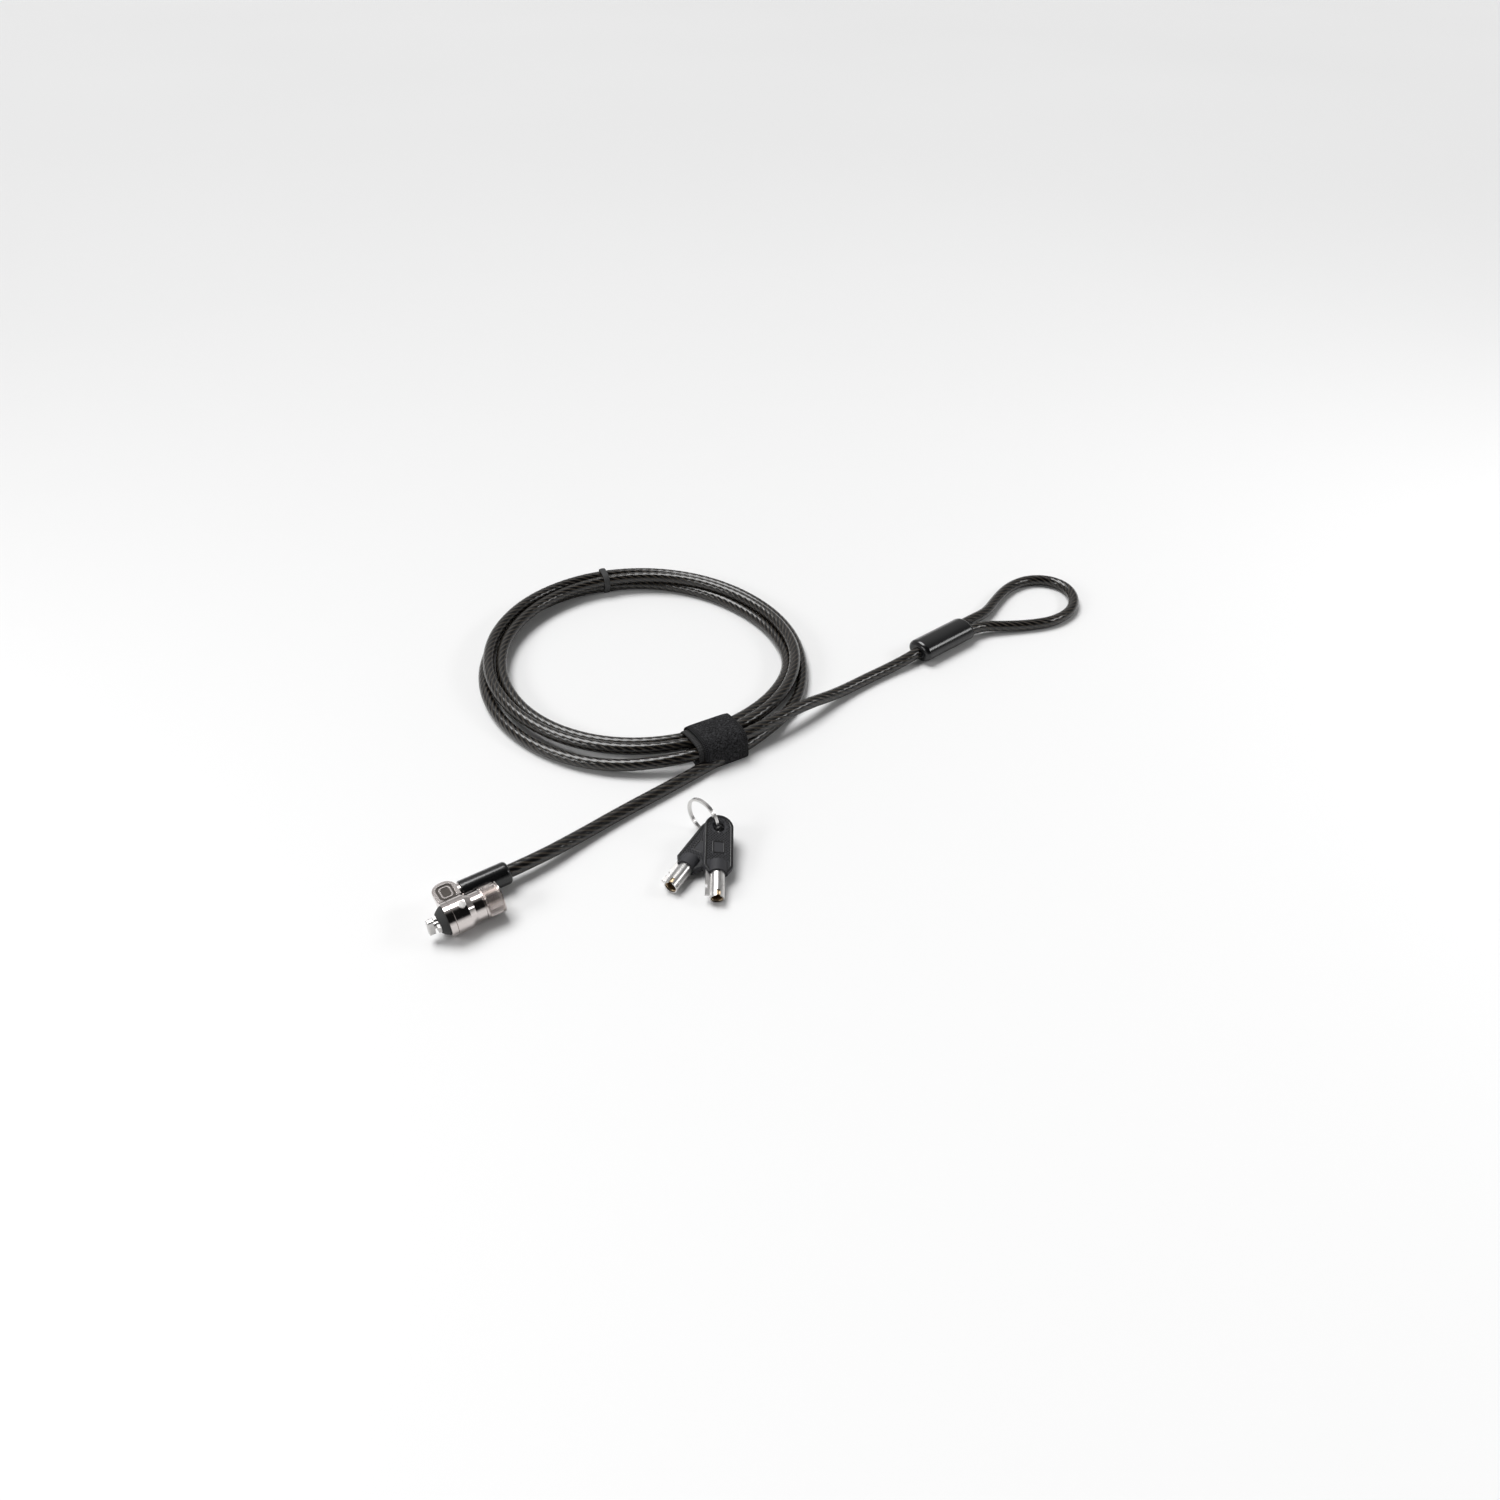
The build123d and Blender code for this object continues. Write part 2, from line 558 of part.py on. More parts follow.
for index in range(2):
    frame = key_plane(index)
    across = Plane(origin=frame.origin, x_dir=frame.y_dir, z_dir=frame.x_dir)
    suffix = "_" + str(index + 1)

    with BuildPart() as key_tube:
        with BuildSketch(across):
            Circle(TUBE_R)
            Circle(TUBE_BORE_R, mode=Mode.SUBTRACT)
        extrude(amount=BOW_NECK_END - 0.5)
        with BuildSketch(across):
            with Locations((0, TUBE_R)):
                Rectangle(1.5, 2.4)
        extrude(amount=2.6, mode=Mode.SUBTRACT)
    write(key_tube.part, "key_tube" + suffix)

    with BuildPart() as key_liner:
        with BuildSketch(across.offset(0.8)):
            Circle(TUBE_BORE_R)
            Circle(LINER_BORE_R, mode=Mode.SUBTRACT)
        extrude(amount=BOW_NECK_END - 1.5)
    write(key_liner.part, "key_liner" + suffix)

    with BuildPart() as key_blade:
        with BuildSketch(Plane(origin=frame.origin, x_dir=frame.x_dir, z_dir=frame.z_dir).offset(-0.45)):
            with BuildLine():
                Polyline(
                    (1.2, 3.15), (1.2, 4.85), (4.4, 4.85), (4.4, 3.9), (6.2, 3.9), (6.2, 4.85), (14.0, 4.85),
                    (14.0, 3.15), close=True,
                )
            make_face()
        extrude(amount=0.9)
    write(key_blade.part, "key_blade" + suffix)

    with BuildPart() as key_bow:
        with BuildSketch(frame.offset(-BOW_T / 2)):
            with BuildLine():
                Line((BOW_START + 3, -BOW_W / 2), (BOW_END - BOW_W / 2, -BOW_W / 2))
                ThreePointArc((BOW_END - BOW_W / 2, -BOW_W / 2), (BOW_END, 0), (BOW_END - BOW_W / 2, BOW_W / 2))
                Line((BOW_END - BOW_W / 2, BOW_W / 2), (BOW_START + 3, BOW_W / 2))
                Line((BOW_START + 3, BOW_W / 2), (BOW_START, BOW_W / 2 - 2))
                Line((BOW_START, BOW_W / 2 - 2), (BOW_START, 2 - BOW_W / 2))
                Line((BOW_START, 2 - BOW_W / 2), (BOW_START + 3, -BOW_W / 2))
            make_face()
        extrude(amount=BOW_T)
        with BuildSketch(across.offset(BOW_START)):
            Circle(BOW_NECK_R)
        extrude(amount=BOW_NECK_END - BOW_START)
        with BuildSketch(frame.offset(-BOW_T)):
            with Locations((KEY_REACH, 0)):
                Circle(RING_HOLE_R)
        extrude(amount=2 * BOW_T, mode=Mode.SUBTRACT)
        rims = key_bow.edges().filter_by(GeomType.CIRCLE)
        chamfer(rims.filter_by(lambda rim: abs(rim.radius - RING_HOLE_R) < RUN), length=0.5)
        with BuildSketch(across.offset(BOW_START)):
            Circle(TUBE_R)
        extrude(amount=BOW_NECK_END - 0.5 - BOW_START, mode=Mode.SUBTRACT)
        with BuildSketch(Plane(origin=frame.origin, x_dir=frame.x_dir, z_dir=frame.z_dir).offset(-0.45)):
            with Locations((12.7, 4.0)):
                Rectangle(2.6, 1.7)
        extrude(amount=0.9, mode=Mode.SUBTRACT)
    write(key_bow.part, "key_bow" + suffix)

ring_heading = math.radians(KEYRING_HEADING)
ring_normal = Vector(math.sin(ring_heading), -math.cos(ring_heading), 0)
WIRE = 0.7  # thickness of each of the ring's two turns
WIRE_W = 1.0
with BuildPart() as split_ring:
    for side in (-1, 1):
        coil_centre = Vector(KEYRING_AT) + ring_normal * (side * WIRE / 2)
        with BuildSketch(Plane(origin=coil_centre, z_dir=ring_normal)):
            Circle(KEYRING_R + WIRE_W / 2)
            Circle(KEYRING_R - WIRE_W / 2, mode=Mode.SUBTRACT)
        extrude(amount=WIRE / 2, both=True)
write(split_ring.part, "split_ring")
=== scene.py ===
"""A laptop cable lock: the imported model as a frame, with its cable, strap, grip, keys and finishes."""

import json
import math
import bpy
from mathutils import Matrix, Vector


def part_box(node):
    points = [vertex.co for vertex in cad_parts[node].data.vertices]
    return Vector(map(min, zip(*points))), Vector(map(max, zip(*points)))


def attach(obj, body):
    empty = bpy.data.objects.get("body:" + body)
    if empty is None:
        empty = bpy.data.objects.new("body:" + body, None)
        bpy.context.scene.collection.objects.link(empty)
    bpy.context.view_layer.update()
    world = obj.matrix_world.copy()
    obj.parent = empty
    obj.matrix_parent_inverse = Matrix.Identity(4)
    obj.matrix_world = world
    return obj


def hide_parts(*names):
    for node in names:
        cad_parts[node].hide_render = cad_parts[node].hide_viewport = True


bl_info = {
    "name": "Laptop cable lock",
    "version": (1, 0, 0),
    "blender": (4, 5, 0),
    "location": "3D View > Sidebar > Cable lock",
    "description": "Lays the cable, wraps its strap and band, and dresses the lock head and the keys",
    "category": "Object",
}

import bmesh
import bpy
from bpy.props import FloatProperty, FloatVectorProperty, IntProperty, PointerProperty
from mathutils import Vector

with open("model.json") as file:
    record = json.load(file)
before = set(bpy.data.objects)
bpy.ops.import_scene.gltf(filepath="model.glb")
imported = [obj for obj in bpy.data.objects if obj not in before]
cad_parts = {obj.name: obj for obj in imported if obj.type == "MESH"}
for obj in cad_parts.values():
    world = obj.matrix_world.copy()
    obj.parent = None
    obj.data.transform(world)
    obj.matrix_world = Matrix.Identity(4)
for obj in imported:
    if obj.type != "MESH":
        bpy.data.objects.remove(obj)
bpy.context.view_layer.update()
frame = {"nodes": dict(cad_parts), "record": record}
MM = 0.001
FLOOR_Z = -0.007
STRANDS = 8  # of wire rope under the cable's jacket


# ---- node trees written as expressions ----
def plug(tree, entry, value):
    """Sets a socket to a plain value, or links a wire to it."""
    if isinstance(value, Wire):
        tree.links.new(value.socket, entry)
    else:
        entry.default_value = value


class Wire:
    """One output of a node tree. Python's operators on it add Math nodes."""

    def __init__(self, tree, socket):
        self.tree = tree
        self.socket = socket

    def math(self, operation, *values):
        node = self.tree.nodes.new("ShaderNodeMath")
        node.operation = operation
        for entry, value in zip(node.inputs, values):
            plug(self.tree, entry, value)
        return Wire(self.tree, node.outputs[0])

    def __add__(self, other):
        return self.math("ADD", self, other)

    def __radd__(self, other):
        return self.math("ADD", other, self)

    def __sub__(self, other):
        return self.math("SUBTRACT", self, other)

    def __rsub__(self, other):
        return self.math("SUBTRACT", other, self)

    def __mul__(self, other):
        return self.math("MULTIPLY", self, other)

    def __rmul__(self, other):
        return self.math("MULTIPLY", other, self)

    def __truediv__(self, other):
        return self.math("DIVIDE", self, other)

    def __abs__(self):
        return self.math("ABSOLUTE", self)

    def sin(self):
        return self.math("SINE", self)

    def cos(self):
        return self.math("COSINE", self)

    def square_root(self):
        return self.math("SQRT", self)

    def fraction(self):
        return self.math("FRACT", self)

    def above(self, level):
        return self.math("GREATER_THAN", self, level)

    def at_least(self, other):
        return self.math("MAXIMUM", self, other)

    def at_most(self, other):
        return self.math("MINIMUM", self, other)

    def triangle(self):
        """0 to 1 and back to 0 over each whole number."""
        return 1 - abs(self.fraction() * 2 - 1)

    def between(self, low, high):
        """0 below low, 1 above high, straight between."""
        node = self.tree.nodes.new("ShaderNodeMapRange")
        plug(self.tree, node.inputs["Value"], self)
        plug(self.tree, node.inputs["From Min"], low)
        plug(self.tree, node.inputs["From Max"], high)
        return Wire(self.tree, node.outputs["Result"])


class Recipe:
    """A node tree that is being written."""

    def __init__(self, tree):
        self.tree = tree

    def node(self, kind, values=None, settings=None, output=0):
        """Adds a node: its settings first, then its sockets' values or wires. Returns one output."""
        made = self.tree.nodes.new(kind)
        for setting, value in (settings or {}).items():
            setattr(made, setting, value)
        for entry, value in (values or {}).items():
            plug(self.tree, made.inputs[entry], value)
        return Wire(self.tree, made.outputs[output]) if made.outputs else None

    def parts(self, vector):
        """The three numbers of a vector."""
        made = self.tree.nodes.new("ShaderNodeSeparateXYZ")
        plug(self.tree, made.inputs[0], vector)
        return [Wire(self.tree, made.outputs[i]) for i in range(3)]

    def join(self, x, y, z):
        return self.node("ShaderNodeCombineXYZ", {0: x, 1: y, 2: z})


class Finish(Recipe):
    """A material with one Principled shader."""

    def __init__(self, name, **constants):
        self.material = bpy.data.materials.new(name)
        self.material.use_nodes = True
        tree = self.material.node_tree
        tree.nodes.clear()
        super().__init__(tree)
        self.shader = tree.nodes.new("ShaderNodeBsdfPrincipled")
        self.out = tree.nodes.new("ShaderNodeOutputMaterial")
        tree.links.new(self.shader.outputs[0], self.out.inputs[0])
        for socket, value in constants.items():
            self.shader.inputs[socket.replace("_", " ")].default_value = value

    def place(self):
        """Position on the object, in metres."""
        return self.node("ShaderNodeTexCoord", output="Object")

    def surface(self):
        """Position along the piece's own UV map."""
        return self.node("ShaderNodeUVMap", settings={"uv_map": "along"})

    def noise(self, scale, detail=2.0, vector=None, roughness=0.5):
        """Noise of 0 to 1 with features of 1/scale metres."""
        where = vector or self.place()
        return self.node(
            "ShaderNodeTexNoise", {"Vector": where, "Scale": scale, "Detail": detail, "Roughness": roughness}
        )

    def blend(self, factor, first, second):
        """A colour between two others."""
        made = self.tree.nodes.new("ShaderNodeMix")
        made.data_type = "RGBA"
        plug(self.tree, made.inputs["Factor"], factor)
        for entry, colour in (("A", first), ("B", second)):
            socket = next(s for s in made.inputs if s.name == entry and s.type == "RGBA")
            plug(self.tree, socket, colour if isinstance(colour, Wire) else (*colour, 1.0))
        return Wire(self.tree, next(s for s in made.outputs if s.type == "RGBA"))

    def set(self, socket, value):
        plug(self.tree, self.shader.inputs[socket], value)

    def bump(self, height, depth, strength=1.0):
        """Relief of that depth in metres, for a height of 0 to 1."""
        wire = self.node("ShaderNodeBump", {"Height": height, "Distance": depth, "Strength": strength})
        self.set("Normal", wire)


# ---- finishes ----
def polished_chrome():
    f = Finish("polished_chrome", Metallic=1.0)
    mottle = f.noise(260.0, 3.0)
    hairline = f.noise(5200.0, 2.0)
    f.set("Base Color", f.blend(mottle, (0.56, 0.515, 0.50), (0.70, 0.655, 0.635)))
    f.set("Roughness", 0.07 + mottle * 0.06 + hairline * 0.04)
    f.bump(hairline, 0.000006)
    return f.material


def satin_steel():
    f = Finish("satin_steel", Metallic=1.0)
    stain = f.noise(420.0, 3.0)
    grain = f.noise(7000.0, 2.0)
    f.set("Base Color", f.blend(stain, (0.46, 0.45, 0.44), (0.68, 0.67, 0.66)))
    f.set("Roughness", 0.20 + stain * 0.12 + grain * 0.08)
    f.bump(grain, 0.000008)
    return f.material


def drawn_wire():
    f = Finish("drawn_wire", Metallic=1.0)
    x, y, z = f.parts(f.place())
    streak = f.noise(1.0, 2.0, f.join(x * 900, y * 900, z * 6000))
    f.set("Base Color", f.blend(streak, (0.52, 0.51, 0.50), (0.74, 0.73, 0.72)))
    f.set("Roughness", 0.16 + streak * 0.14)
    f.bump(streak, 0.000008)
    return f.material


def bare_brass():
    f = Finish("bare_brass", Metallic=1.0)
    tarnish = f.noise(700.0, 4.0)
    f.set("Base Color", f.blend(tarnish, (0.45, 0.32, 0.19), (0.78, 0.62, 0.42)))
    f.set("Roughness", 0.26 + tarnish * 0.2)
    f.bump(f.noise(6000.0), 0.00001)
    return f.material


def dark_inlay():
    f = Finish("dark_inlay", Metallic=1.0)
    speck = f.noise(3000.0, 3.0)
    f.set("Base Color", f.blend(speck, (0.018, 0.016, 0.015), (0.075, 0.068, 0.062)))
    f.set("Roughness", 0.32 + speck * 0.2)
    f.bump(speck, 0.00002)
    return f.material


def bumper_rubber():
    f = Finish("bumper_rubber", Specular_IOR_Level=0.18)
    bloom = f.noise(330.0, 4.0)
    pore = f.noise(5200.0, 3.0)
    f.set("Base Color", f.blend(bloom, (0.004, 0.004, 0.0042), (0.012, 0.012, 0.0125)))
    f.set("Roughness", 0.48 + bloom * 0.18 + pore * 0.1)
    f.bump(pore, 0.00003)
    return f.material


def band_rubber():
    f = Finish("band_rubber", Specular_IOR_Level=0.3)
    along, across, _ = f.parts(f.surface())
    rib = (across * 5).triangle()
    dust = f.noise(900.0, 3.0)
    f.set("Base Color", f.blend(dust, (0.010, 0.010, 0.011), (0.032, 0.031, 0.030)))
    f.set("Roughness", 0.55 + dust * 0.2)
    f.bump(rib * 0.4 + dust * 0.6, 0.00004)
    return f.material


def cable_jacket():
    """Glossy black sheath over twisted strands, which show through it as faint slanting marks."""
    f = Finish("cable_jacket", Specular_IOR_Level=0.55, IOR=1.5)
    along, around, _ = f.parts(f.surface())
    lay = along * (STRANDS / 0.034) + around * STRANDS
    mark = lay.triangle().between(0.40, 0.90)
    worn = f.noise(95.0, 3.0)
    patchy = f.noise(420.0, 2.0)
    tint = mark * (0.35 + patchy * 0.65)
    f.set("Base Color", f.blend(tint, (0.0022, 0.0022, 0.0025), (0.060, 0.049, 0.037)))
    f.set("Roughness", 0.15 + worn * 0.10 + mark * 0.06)
    relief = (lay * (2 * math.pi)).sin() * 0.5 + 0.5
    f.bump(relief * 0.8 + patchy * 0.2, 0.00006)
    return f.material


def moulded_gloss():
    f = Finish("moulded_gloss", Specular_IOR_Level=0.55)
    flow = f.noise(120.0, 3.0)
    orange_peel = f.noise(1700.0, 2.0)
    f.set("Base Color", f.blend(flow, (0.003, 0.003, 0.0033), (0.008, 0.008, 0.0085)))
    f.set("Roughness", 0.13 + flow * 0.10)
    f.bump(orange_peel, 0.00002)
    return f.material


def bow_plastic():
    """Satin black plastic of the keys' bows."""
    f = Finish("bow_plastic", Specular_IOR_Level=0.24)
    wear = f.noise(300.0, 3.0)
    grain = f.noise(4200.0, 2.0)
    f.set("Base Color", f.blend(wear, (0.0022, 0.0022, 0.0026), (0.008, 0.008, 0.0085)))
    f.set("Roughness", 0.30 + wear * 0.16 + grain * 0.08)
    f.bump(grain, 0.00002)
    return f.material


def smooth_rim_plastic():
    f = Finish("smooth_rim_plastic", Specular_IOR_Level=0.42)
    wear = f.noise(500.0, 3.0)
    f.set("Base Color", f.blend(wear, (0.004, 0.004, 0.0043), (0.014, 0.014, 0.0145)))
    f.set("Roughness", 0.22 + wear * 0.16)
    f.bump(f.noise(3500.0), 0.00001)
    return f.material


def strap_webbing():
    """Black loop fabric with woven hems along both edges."""
    f = Finish("strap_webbing", Specular_IOR_Level=0.12, Sheen_Weight=0.03, Sheen_Roughness=0.5)
    along, across, _ = f.parts(f.surface())
    edge = abs(across * 2 - 1).between(0.80, 0.86)
    rib = (along * (1 / 0.0007)).triangle() * (across * 28).triangle()
    pile = f.noise(1250.0, 3.0, roughness=0.7).between(0.40, 0.68)
    lint = f.noise(900.0, 3.0).between(0.66, 0.80)
    height = pile * (1 - edge) + rib * edge
    f.set("Base Color", f.blend(height * 0.8 + lint * 0.35, (0.001, 0.001, 0.0012), (0.080, 0.080, 0.086)))
    f.set("Roughness", 0.78 + pile * 0.16)
    f.bump(height, 0.0006)
    return f.material


def strap_hooks():
    """The strap's hook side: rows of tiny stiff hooks."""
    f = Finish("strap_hooks", Specular_IOR_Level=0.2)
    along, across, _ = f.parts(f.surface())
    hooks = (along * (1 / 0.0011)).triangle() * (across * 18).triangle()
    fuzz = f.noise(3600.0, 4.0, roughness=0.75)
    f.set("Base Color", f.blend(hooks * 0.5 + fuzz * 0.5, (0.004, 0.004, 0.0045), (0.075, 0.074, 0.074)))
    f.set("Roughness", 0.50 + fuzz * 0.3)
    f.bump(hooks * 0.6 + fuzz * 0.6, 0.0005)
    return f.material


def pale_floor():
    f = Finish("pale_floor", Specular_IOR_Level=0.15)
    drift = f.noise(1.4, 1.0)
    f.set("Base Color", f.blend(drift, (0.80, 0.80, 0.80), (0.83, 0.83, 0.83)))
    f.set("Roughness", 0.72 + drift * 0.06)
    return f.material


FINISH_OF_SLOT = {
    "chrome_body": polished_chrome,
    "steel": satin_steel,
    "spring_steel": drawn_wire,
    "brass": bare_brass,
    "dark_panel": dark_inlay,
    "bumper_rubber": bumper_rubber,
    "band_rubber": band_rubber,
    "jacket": cable_jacket,
    "sleeve_plastic": moulded_gloss,
    "bow_plastic": bow_plastic,
    "strap_fabric": strap_webbing,
}


FINISH_OF_NODE = {"ear_plaque": polished_chrome}


def finish_named(make):
    """The material that a finish function makes, made once."""
    return bpy.data.materials.get(make.__name__) or make()


# ---- mesh tools ----
def add_piece(name, mesh, finish, smooth=True):
    """Puts a mesh in the scene as a piece at the origin."""
    mesh.materials.clear()
    mesh.materials.append(finish_named(finish))
    for face in mesh.polygons:
        face.use_smooth = smooth
    piece = bpy.data.objects.new(name, mesh)
    bpy.context.scene.collection.objects.link(piece)
    return piece


def outward(mesh):
    """Merges doubles and points the faces outwards."""
    shape = bmesh.new()
    shape.from_mesh(mesh)
    bmesh.ops.remove_doubles(shape, verts=shape.verts, dist=1e-7)
    bmesh.ops.recalc_face_normals(shape, faces=shape.faces)
    shape.to_mesh(mesh)
    shape.free()


def skin(name, rings, caps=True, uv_along=None):
    """A mesh over closed rings of points, with a UV map called along: metres by a share of the ring."""
    count = len(rings[0])
    mesh = bpy.data.meshes.new(name)
    verts = [tuple(p) for ring in rings for p in ring]
    faces = []
    corners = []
    for i in range(len(rings) - 1):
        for j in range(count):
            k = (j + 1) % count
            faces.append((i * count + j, i * count + k, (i + 1) * count + k, (i + 1) * count + j))
            corners.append((i, j))
    if caps:
        faces.append(tuple(reversed(range(count))))
        faces.append(tuple((len(rings) - 1) * count + j for j in range(count)))
    mesh.from_pydata(verts, [], faces)
    layer = mesh.uv_layers.new(name="along")
    stations = uv_along or list(range(len(rings)))
    for face in mesh.polygons[: len(corners)]:
        i, j = corners[face.index]
        values = ((i, j), (i, j + 1), (i + 1, j + 1), (i + 1, j))
        for loop, (row, column) in zip(face.loop_indices, values):
            layer.data[loop].uv = (stations[row], column / count)
    mesh.update()
    return mesh


def carried_frames(points):
    """A side and an up vector at each point, carried along the line without twisting."""
    up = Vector((0, 0, 1))
    frames = []
    for i, point in enumerate(points):
        ahead = points[min(i + 1, len(points) - 1)] - points[max(i - 1, 0)]
        ahead.normalize()
        up = (up - ahead * up.dot(ahead)).normalized()
        frames.append((ahead.cross(up).normalized(), up.copy()))
    return frames


def tube(name, points, radius, sides):
    """A closed round tube along a line."""
    rings = []
    lengths = [0.0]
    for before, after in zip(points, points[1:]):
        lengths.append(lengths[-1] + (after - before).length)
    for point, (side, up) in zip(points, carried_frames(points)):
        ring = []
        for j in range(sides):
            angle = 2 * math.pi * j / sides
            ring.append(point + (side * math.cos(angle) + up * math.sin(angle)) * radius)
        rings.append(ring)
    return skin(name, rings, uv_along=lengths)


def nurbs_line(name, points, resolution=10):
    """An open NURBS spline through a scene curve, and the line of points that it draws."""
    curve = bpy.data.curves.new(name, "CURVE")
    curve.dimensions = "3D"
    spline = curve.splines.new("NURBS")
    spline.points.add(len(points) - 1)
    for entry, point in zip(spline.points, points):
        entry.co = (*point, 1.0)
    spline.order_u = 3
    spline.use_endpoint_u = True
    spline.resolution_u = resolution
    holder = bpy.data.objects.new(name, curve)
    bpy.context.scene.collection.objects.link(holder)
    bpy.context.view_layer.update()
    seen = holder.evaluated_get(bpy.context.evaluated_depsgraph_get())
    line = bpy.data.meshes.new_from_object(seen)
    drawn = [v.co.copy() for v in line.vertices]
    bpy.data.objects.remove(holder)
    bpy.data.curves.remove(curve)
    bpy.data.meshes.remove(line)
    return drawn


# ---- the coil ----
COIL_CENTRE = (0.1509, 0.1092)
STRAP_ANGLE = -94.9
BAND_TRAVEL = 171.8
TAIL_IN_STRAP = (0.0060, 0.0056)  # how far out and up the tail lies where the strap holds it
LIE = FLOOR_Z + 0.00275 + 0.00005  # height of a cable's centre when it lies on the floor

# Each turn from strap to strap: degrees of travel, then how far the cable lies outside the coil's
# middle line and above its lying height, in millimetres.
TURNS = (
    (
        (0, 6.5, 0), (15, 5.0, 0), (40, 5.5, 0), (61, 3.0, 0), (100, 4.6, 0.3), (135, 4.4, 2.6),
        (172, 3.1, 4.8), (210, 3.0, 5.4), (241, 2.7, 5.3), (275, 1.6, 4.4), (305, 0.8, 3.6),
        (335, 0.2, 4.6), (360, 0, 5.4),
    ),
    (
        (0, 0, 5.4), (15, -0.6, 5.6), (40, -0.5, 5.2), (61, 0.2, 4.8), (100, -0.9, 3.2), (135, -2.4, 5.2),
        (172, -2.6, 4.8), (210, -2.9, 4.0), (241, -3.1, 3.0), (275, -4.1, 1.5), (305, -5.0, 1.6),
        (335, -5.5, 3.0), (360, -5.9, 4.2),
    ),
    (
        (0, -5.9, 4.2), (15, -6.2, 4.0), (40, -5.6, 2.4), (61, -3.0, 0), (100, -5.8, 0), (135, -3.6, 0),
        (172, 0.2, 0), (210, 2.6, 0), (241, 4.6, 0), (275, 7.0, 0), (305, 8.6, 0), (335, 8.9, 1.8),
        (345, 8.4, 4.4), (360, 6.0, 5.6),
    ),
)


def coil_middle(travel):
    """Radius of the coil's middle line: it is a little oval."""
    turn = math.radians(STRAP_ANGLE + travel)
    return (73.7 + 2.2 * math.cos(2 * (turn - math.radians(105)))) * MM


def lie_of_turn(turn, travel):
    """How far out and how high a turn of the cable lies at a place along it."""
    stations = TURNS[turn]
    for (t0, out0, up0), (t1, out1, up1) in zip(stations, stations[1:]):
        if travel <= t1:
            share = (travel - t0) / (t1 - t0)
            return (out0 + (out1 - out0) * share) * MM, (up0 + (up1 - up0) * share) * MM
    raise ValueError("a turn ends at 360 degrees")


def on_coil(travel, radius, height):
    """A point of the coil, from its travel past the strap."""
    turn = math.radians(STRAP_ANGLE + travel)
    return (COIL_CENTRE[0] + radius * math.cos(turn), COIL_CENTRE[1] + radius * math.sin(turn), height)


def bundle_at(travel):
    """Where the cable's turns lie in the coil's section: (radius, height) of each."""
    strands = []
    for turn in range(len(TURNS)):
        out, up = lie_of_turn(turn, travel)
        strands.append((coil_middle(travel) + out, LIE + up))
    return strands


def wrapped(strands, reach, samples=72):
    """The outline of a band pulled round strands of that reach, as evenly spaced points."""
    cloud = []
    for radius, height in strands:
        for j in range(36):
            angle = 2 * math.pi * j / 36
            cloud.append((radius + reach * math.cos(angle), height + reach * math.sin(angle)))
    cloud = sorted(cloud)
    halves = []
    for order in (cloud, cloud[::-1]):
        chain = []
        for p in order:
            while len(chain) > 1:
                (ax, ay), (bx, by) = chain[-2], chain[-1]
                if (bx - ax) * (p[1] - ay) - (by - ay) * (p[0] - ax) > 0:
                    break
                chain.pop()
            chain.append(p)
        halves += chain[:-1]
    loop = halves + halves[:1]
    steps = [math.dist(a, b) for a, b in zip(loop, loop[1:])]
    total = sum(steps)
    outline = []
    index = 0
    gone = 0.0
    for k in range(samples):
        target = total * k / samples
        while gone + steps[index] < target:
            gone += steps[index]
            index += 1
        share = (target - gone) / steps[index]
        a, b = loop[index], loop[index + 1]
        outline.append((a[0] + (b[0] - a[0]) * share, a[1] + (b[1] - a[1]) * share))
    return outline


# ---- the cable's route, in millimetres: ferrule to coil, then coil to the loop's end ----
LEAD = (
    (18.0, 11.2, -1.3), (44.0, 11.2, -1.3), (66.0, 15.6, -3.6), (88.0, 19.2, -4.2), (112.0, 21.6, -4.2),
    (134.0, 24.4, -4.2),
)
TAIL = (
    (152.0, 27.2, 1.4), (172.0, 28.2, 1.6), (192.0, 30.2, 1.4), (212.0, 33.2, -3.2), (232.0, 35.6, -4.2),
    (250.0, 36.2, -3.9), (262.0, 36.3, -2.4),
)
LOOP = (
    (321.0, 46.0, -3.6), (334.0, 52.6, -4.2), (348.0, 58.2, -4.2), (361.5, 58.6, -4.2), (372.0, 52.2, -4.2),
    (375.5, 41.6, -4.2), (371.0, 30.8, -4.2), (360.5, 22.6, -4.2), (346.0, 20.6, -4.2), (333.0, 24.8, -4.2),
    (320.0, 31.0, -3.6),
)
INTO_SLEEVE = ((6.0, 0.6, 0), (14.0, 2.85, 0), (31.0, 2.95, 0), (43.0, 3.6, -0.6))
BACK_IN_SLEEVE = ((43.0, -3.6, -0.6), (31.0, -2.95, 0), (16.0, -2.85, 0))
SLEEVE_FACE = (265.5, 36.6, -1.8)
SLEEVE_TURN = math.radians(5.0)
STEPS_PER_TURN = 15


def at_sleeve(along, across, height):
    """A point given along and across the loop sleeve."""
    x0, y0, z0 = SLEEVE_FACE
    x = x0 + along * math.cos(SLEEVE_TURN) - across * math.sin(SLEEVE_TURN)
    y = y0 + along * math.sin(SLEEVE_TURN) + across * math.cos(SLEEVE_TURN)
    return (x, y, z0 + height)


def coil_points():
    """The coil's points, wider than the cable's own line by what the spline cuts off each corner."""
    step = 360 / STEPS_PER_TURN
    widen = 1 / math.cos(math.radians(step / 2))
    points = []
    for k in range(STEPS_PER_TURN * len(TURNS)):
        travelled = step / 2 + step * k
        turn = int(travelled // 360)
        travel = travelled - 360 * turn
        out, up = lie_of_turn(turn, travel)
        points.append(on_coil(travel, (coil_middle(travel) + out) * widen, LIE + up))
    return points


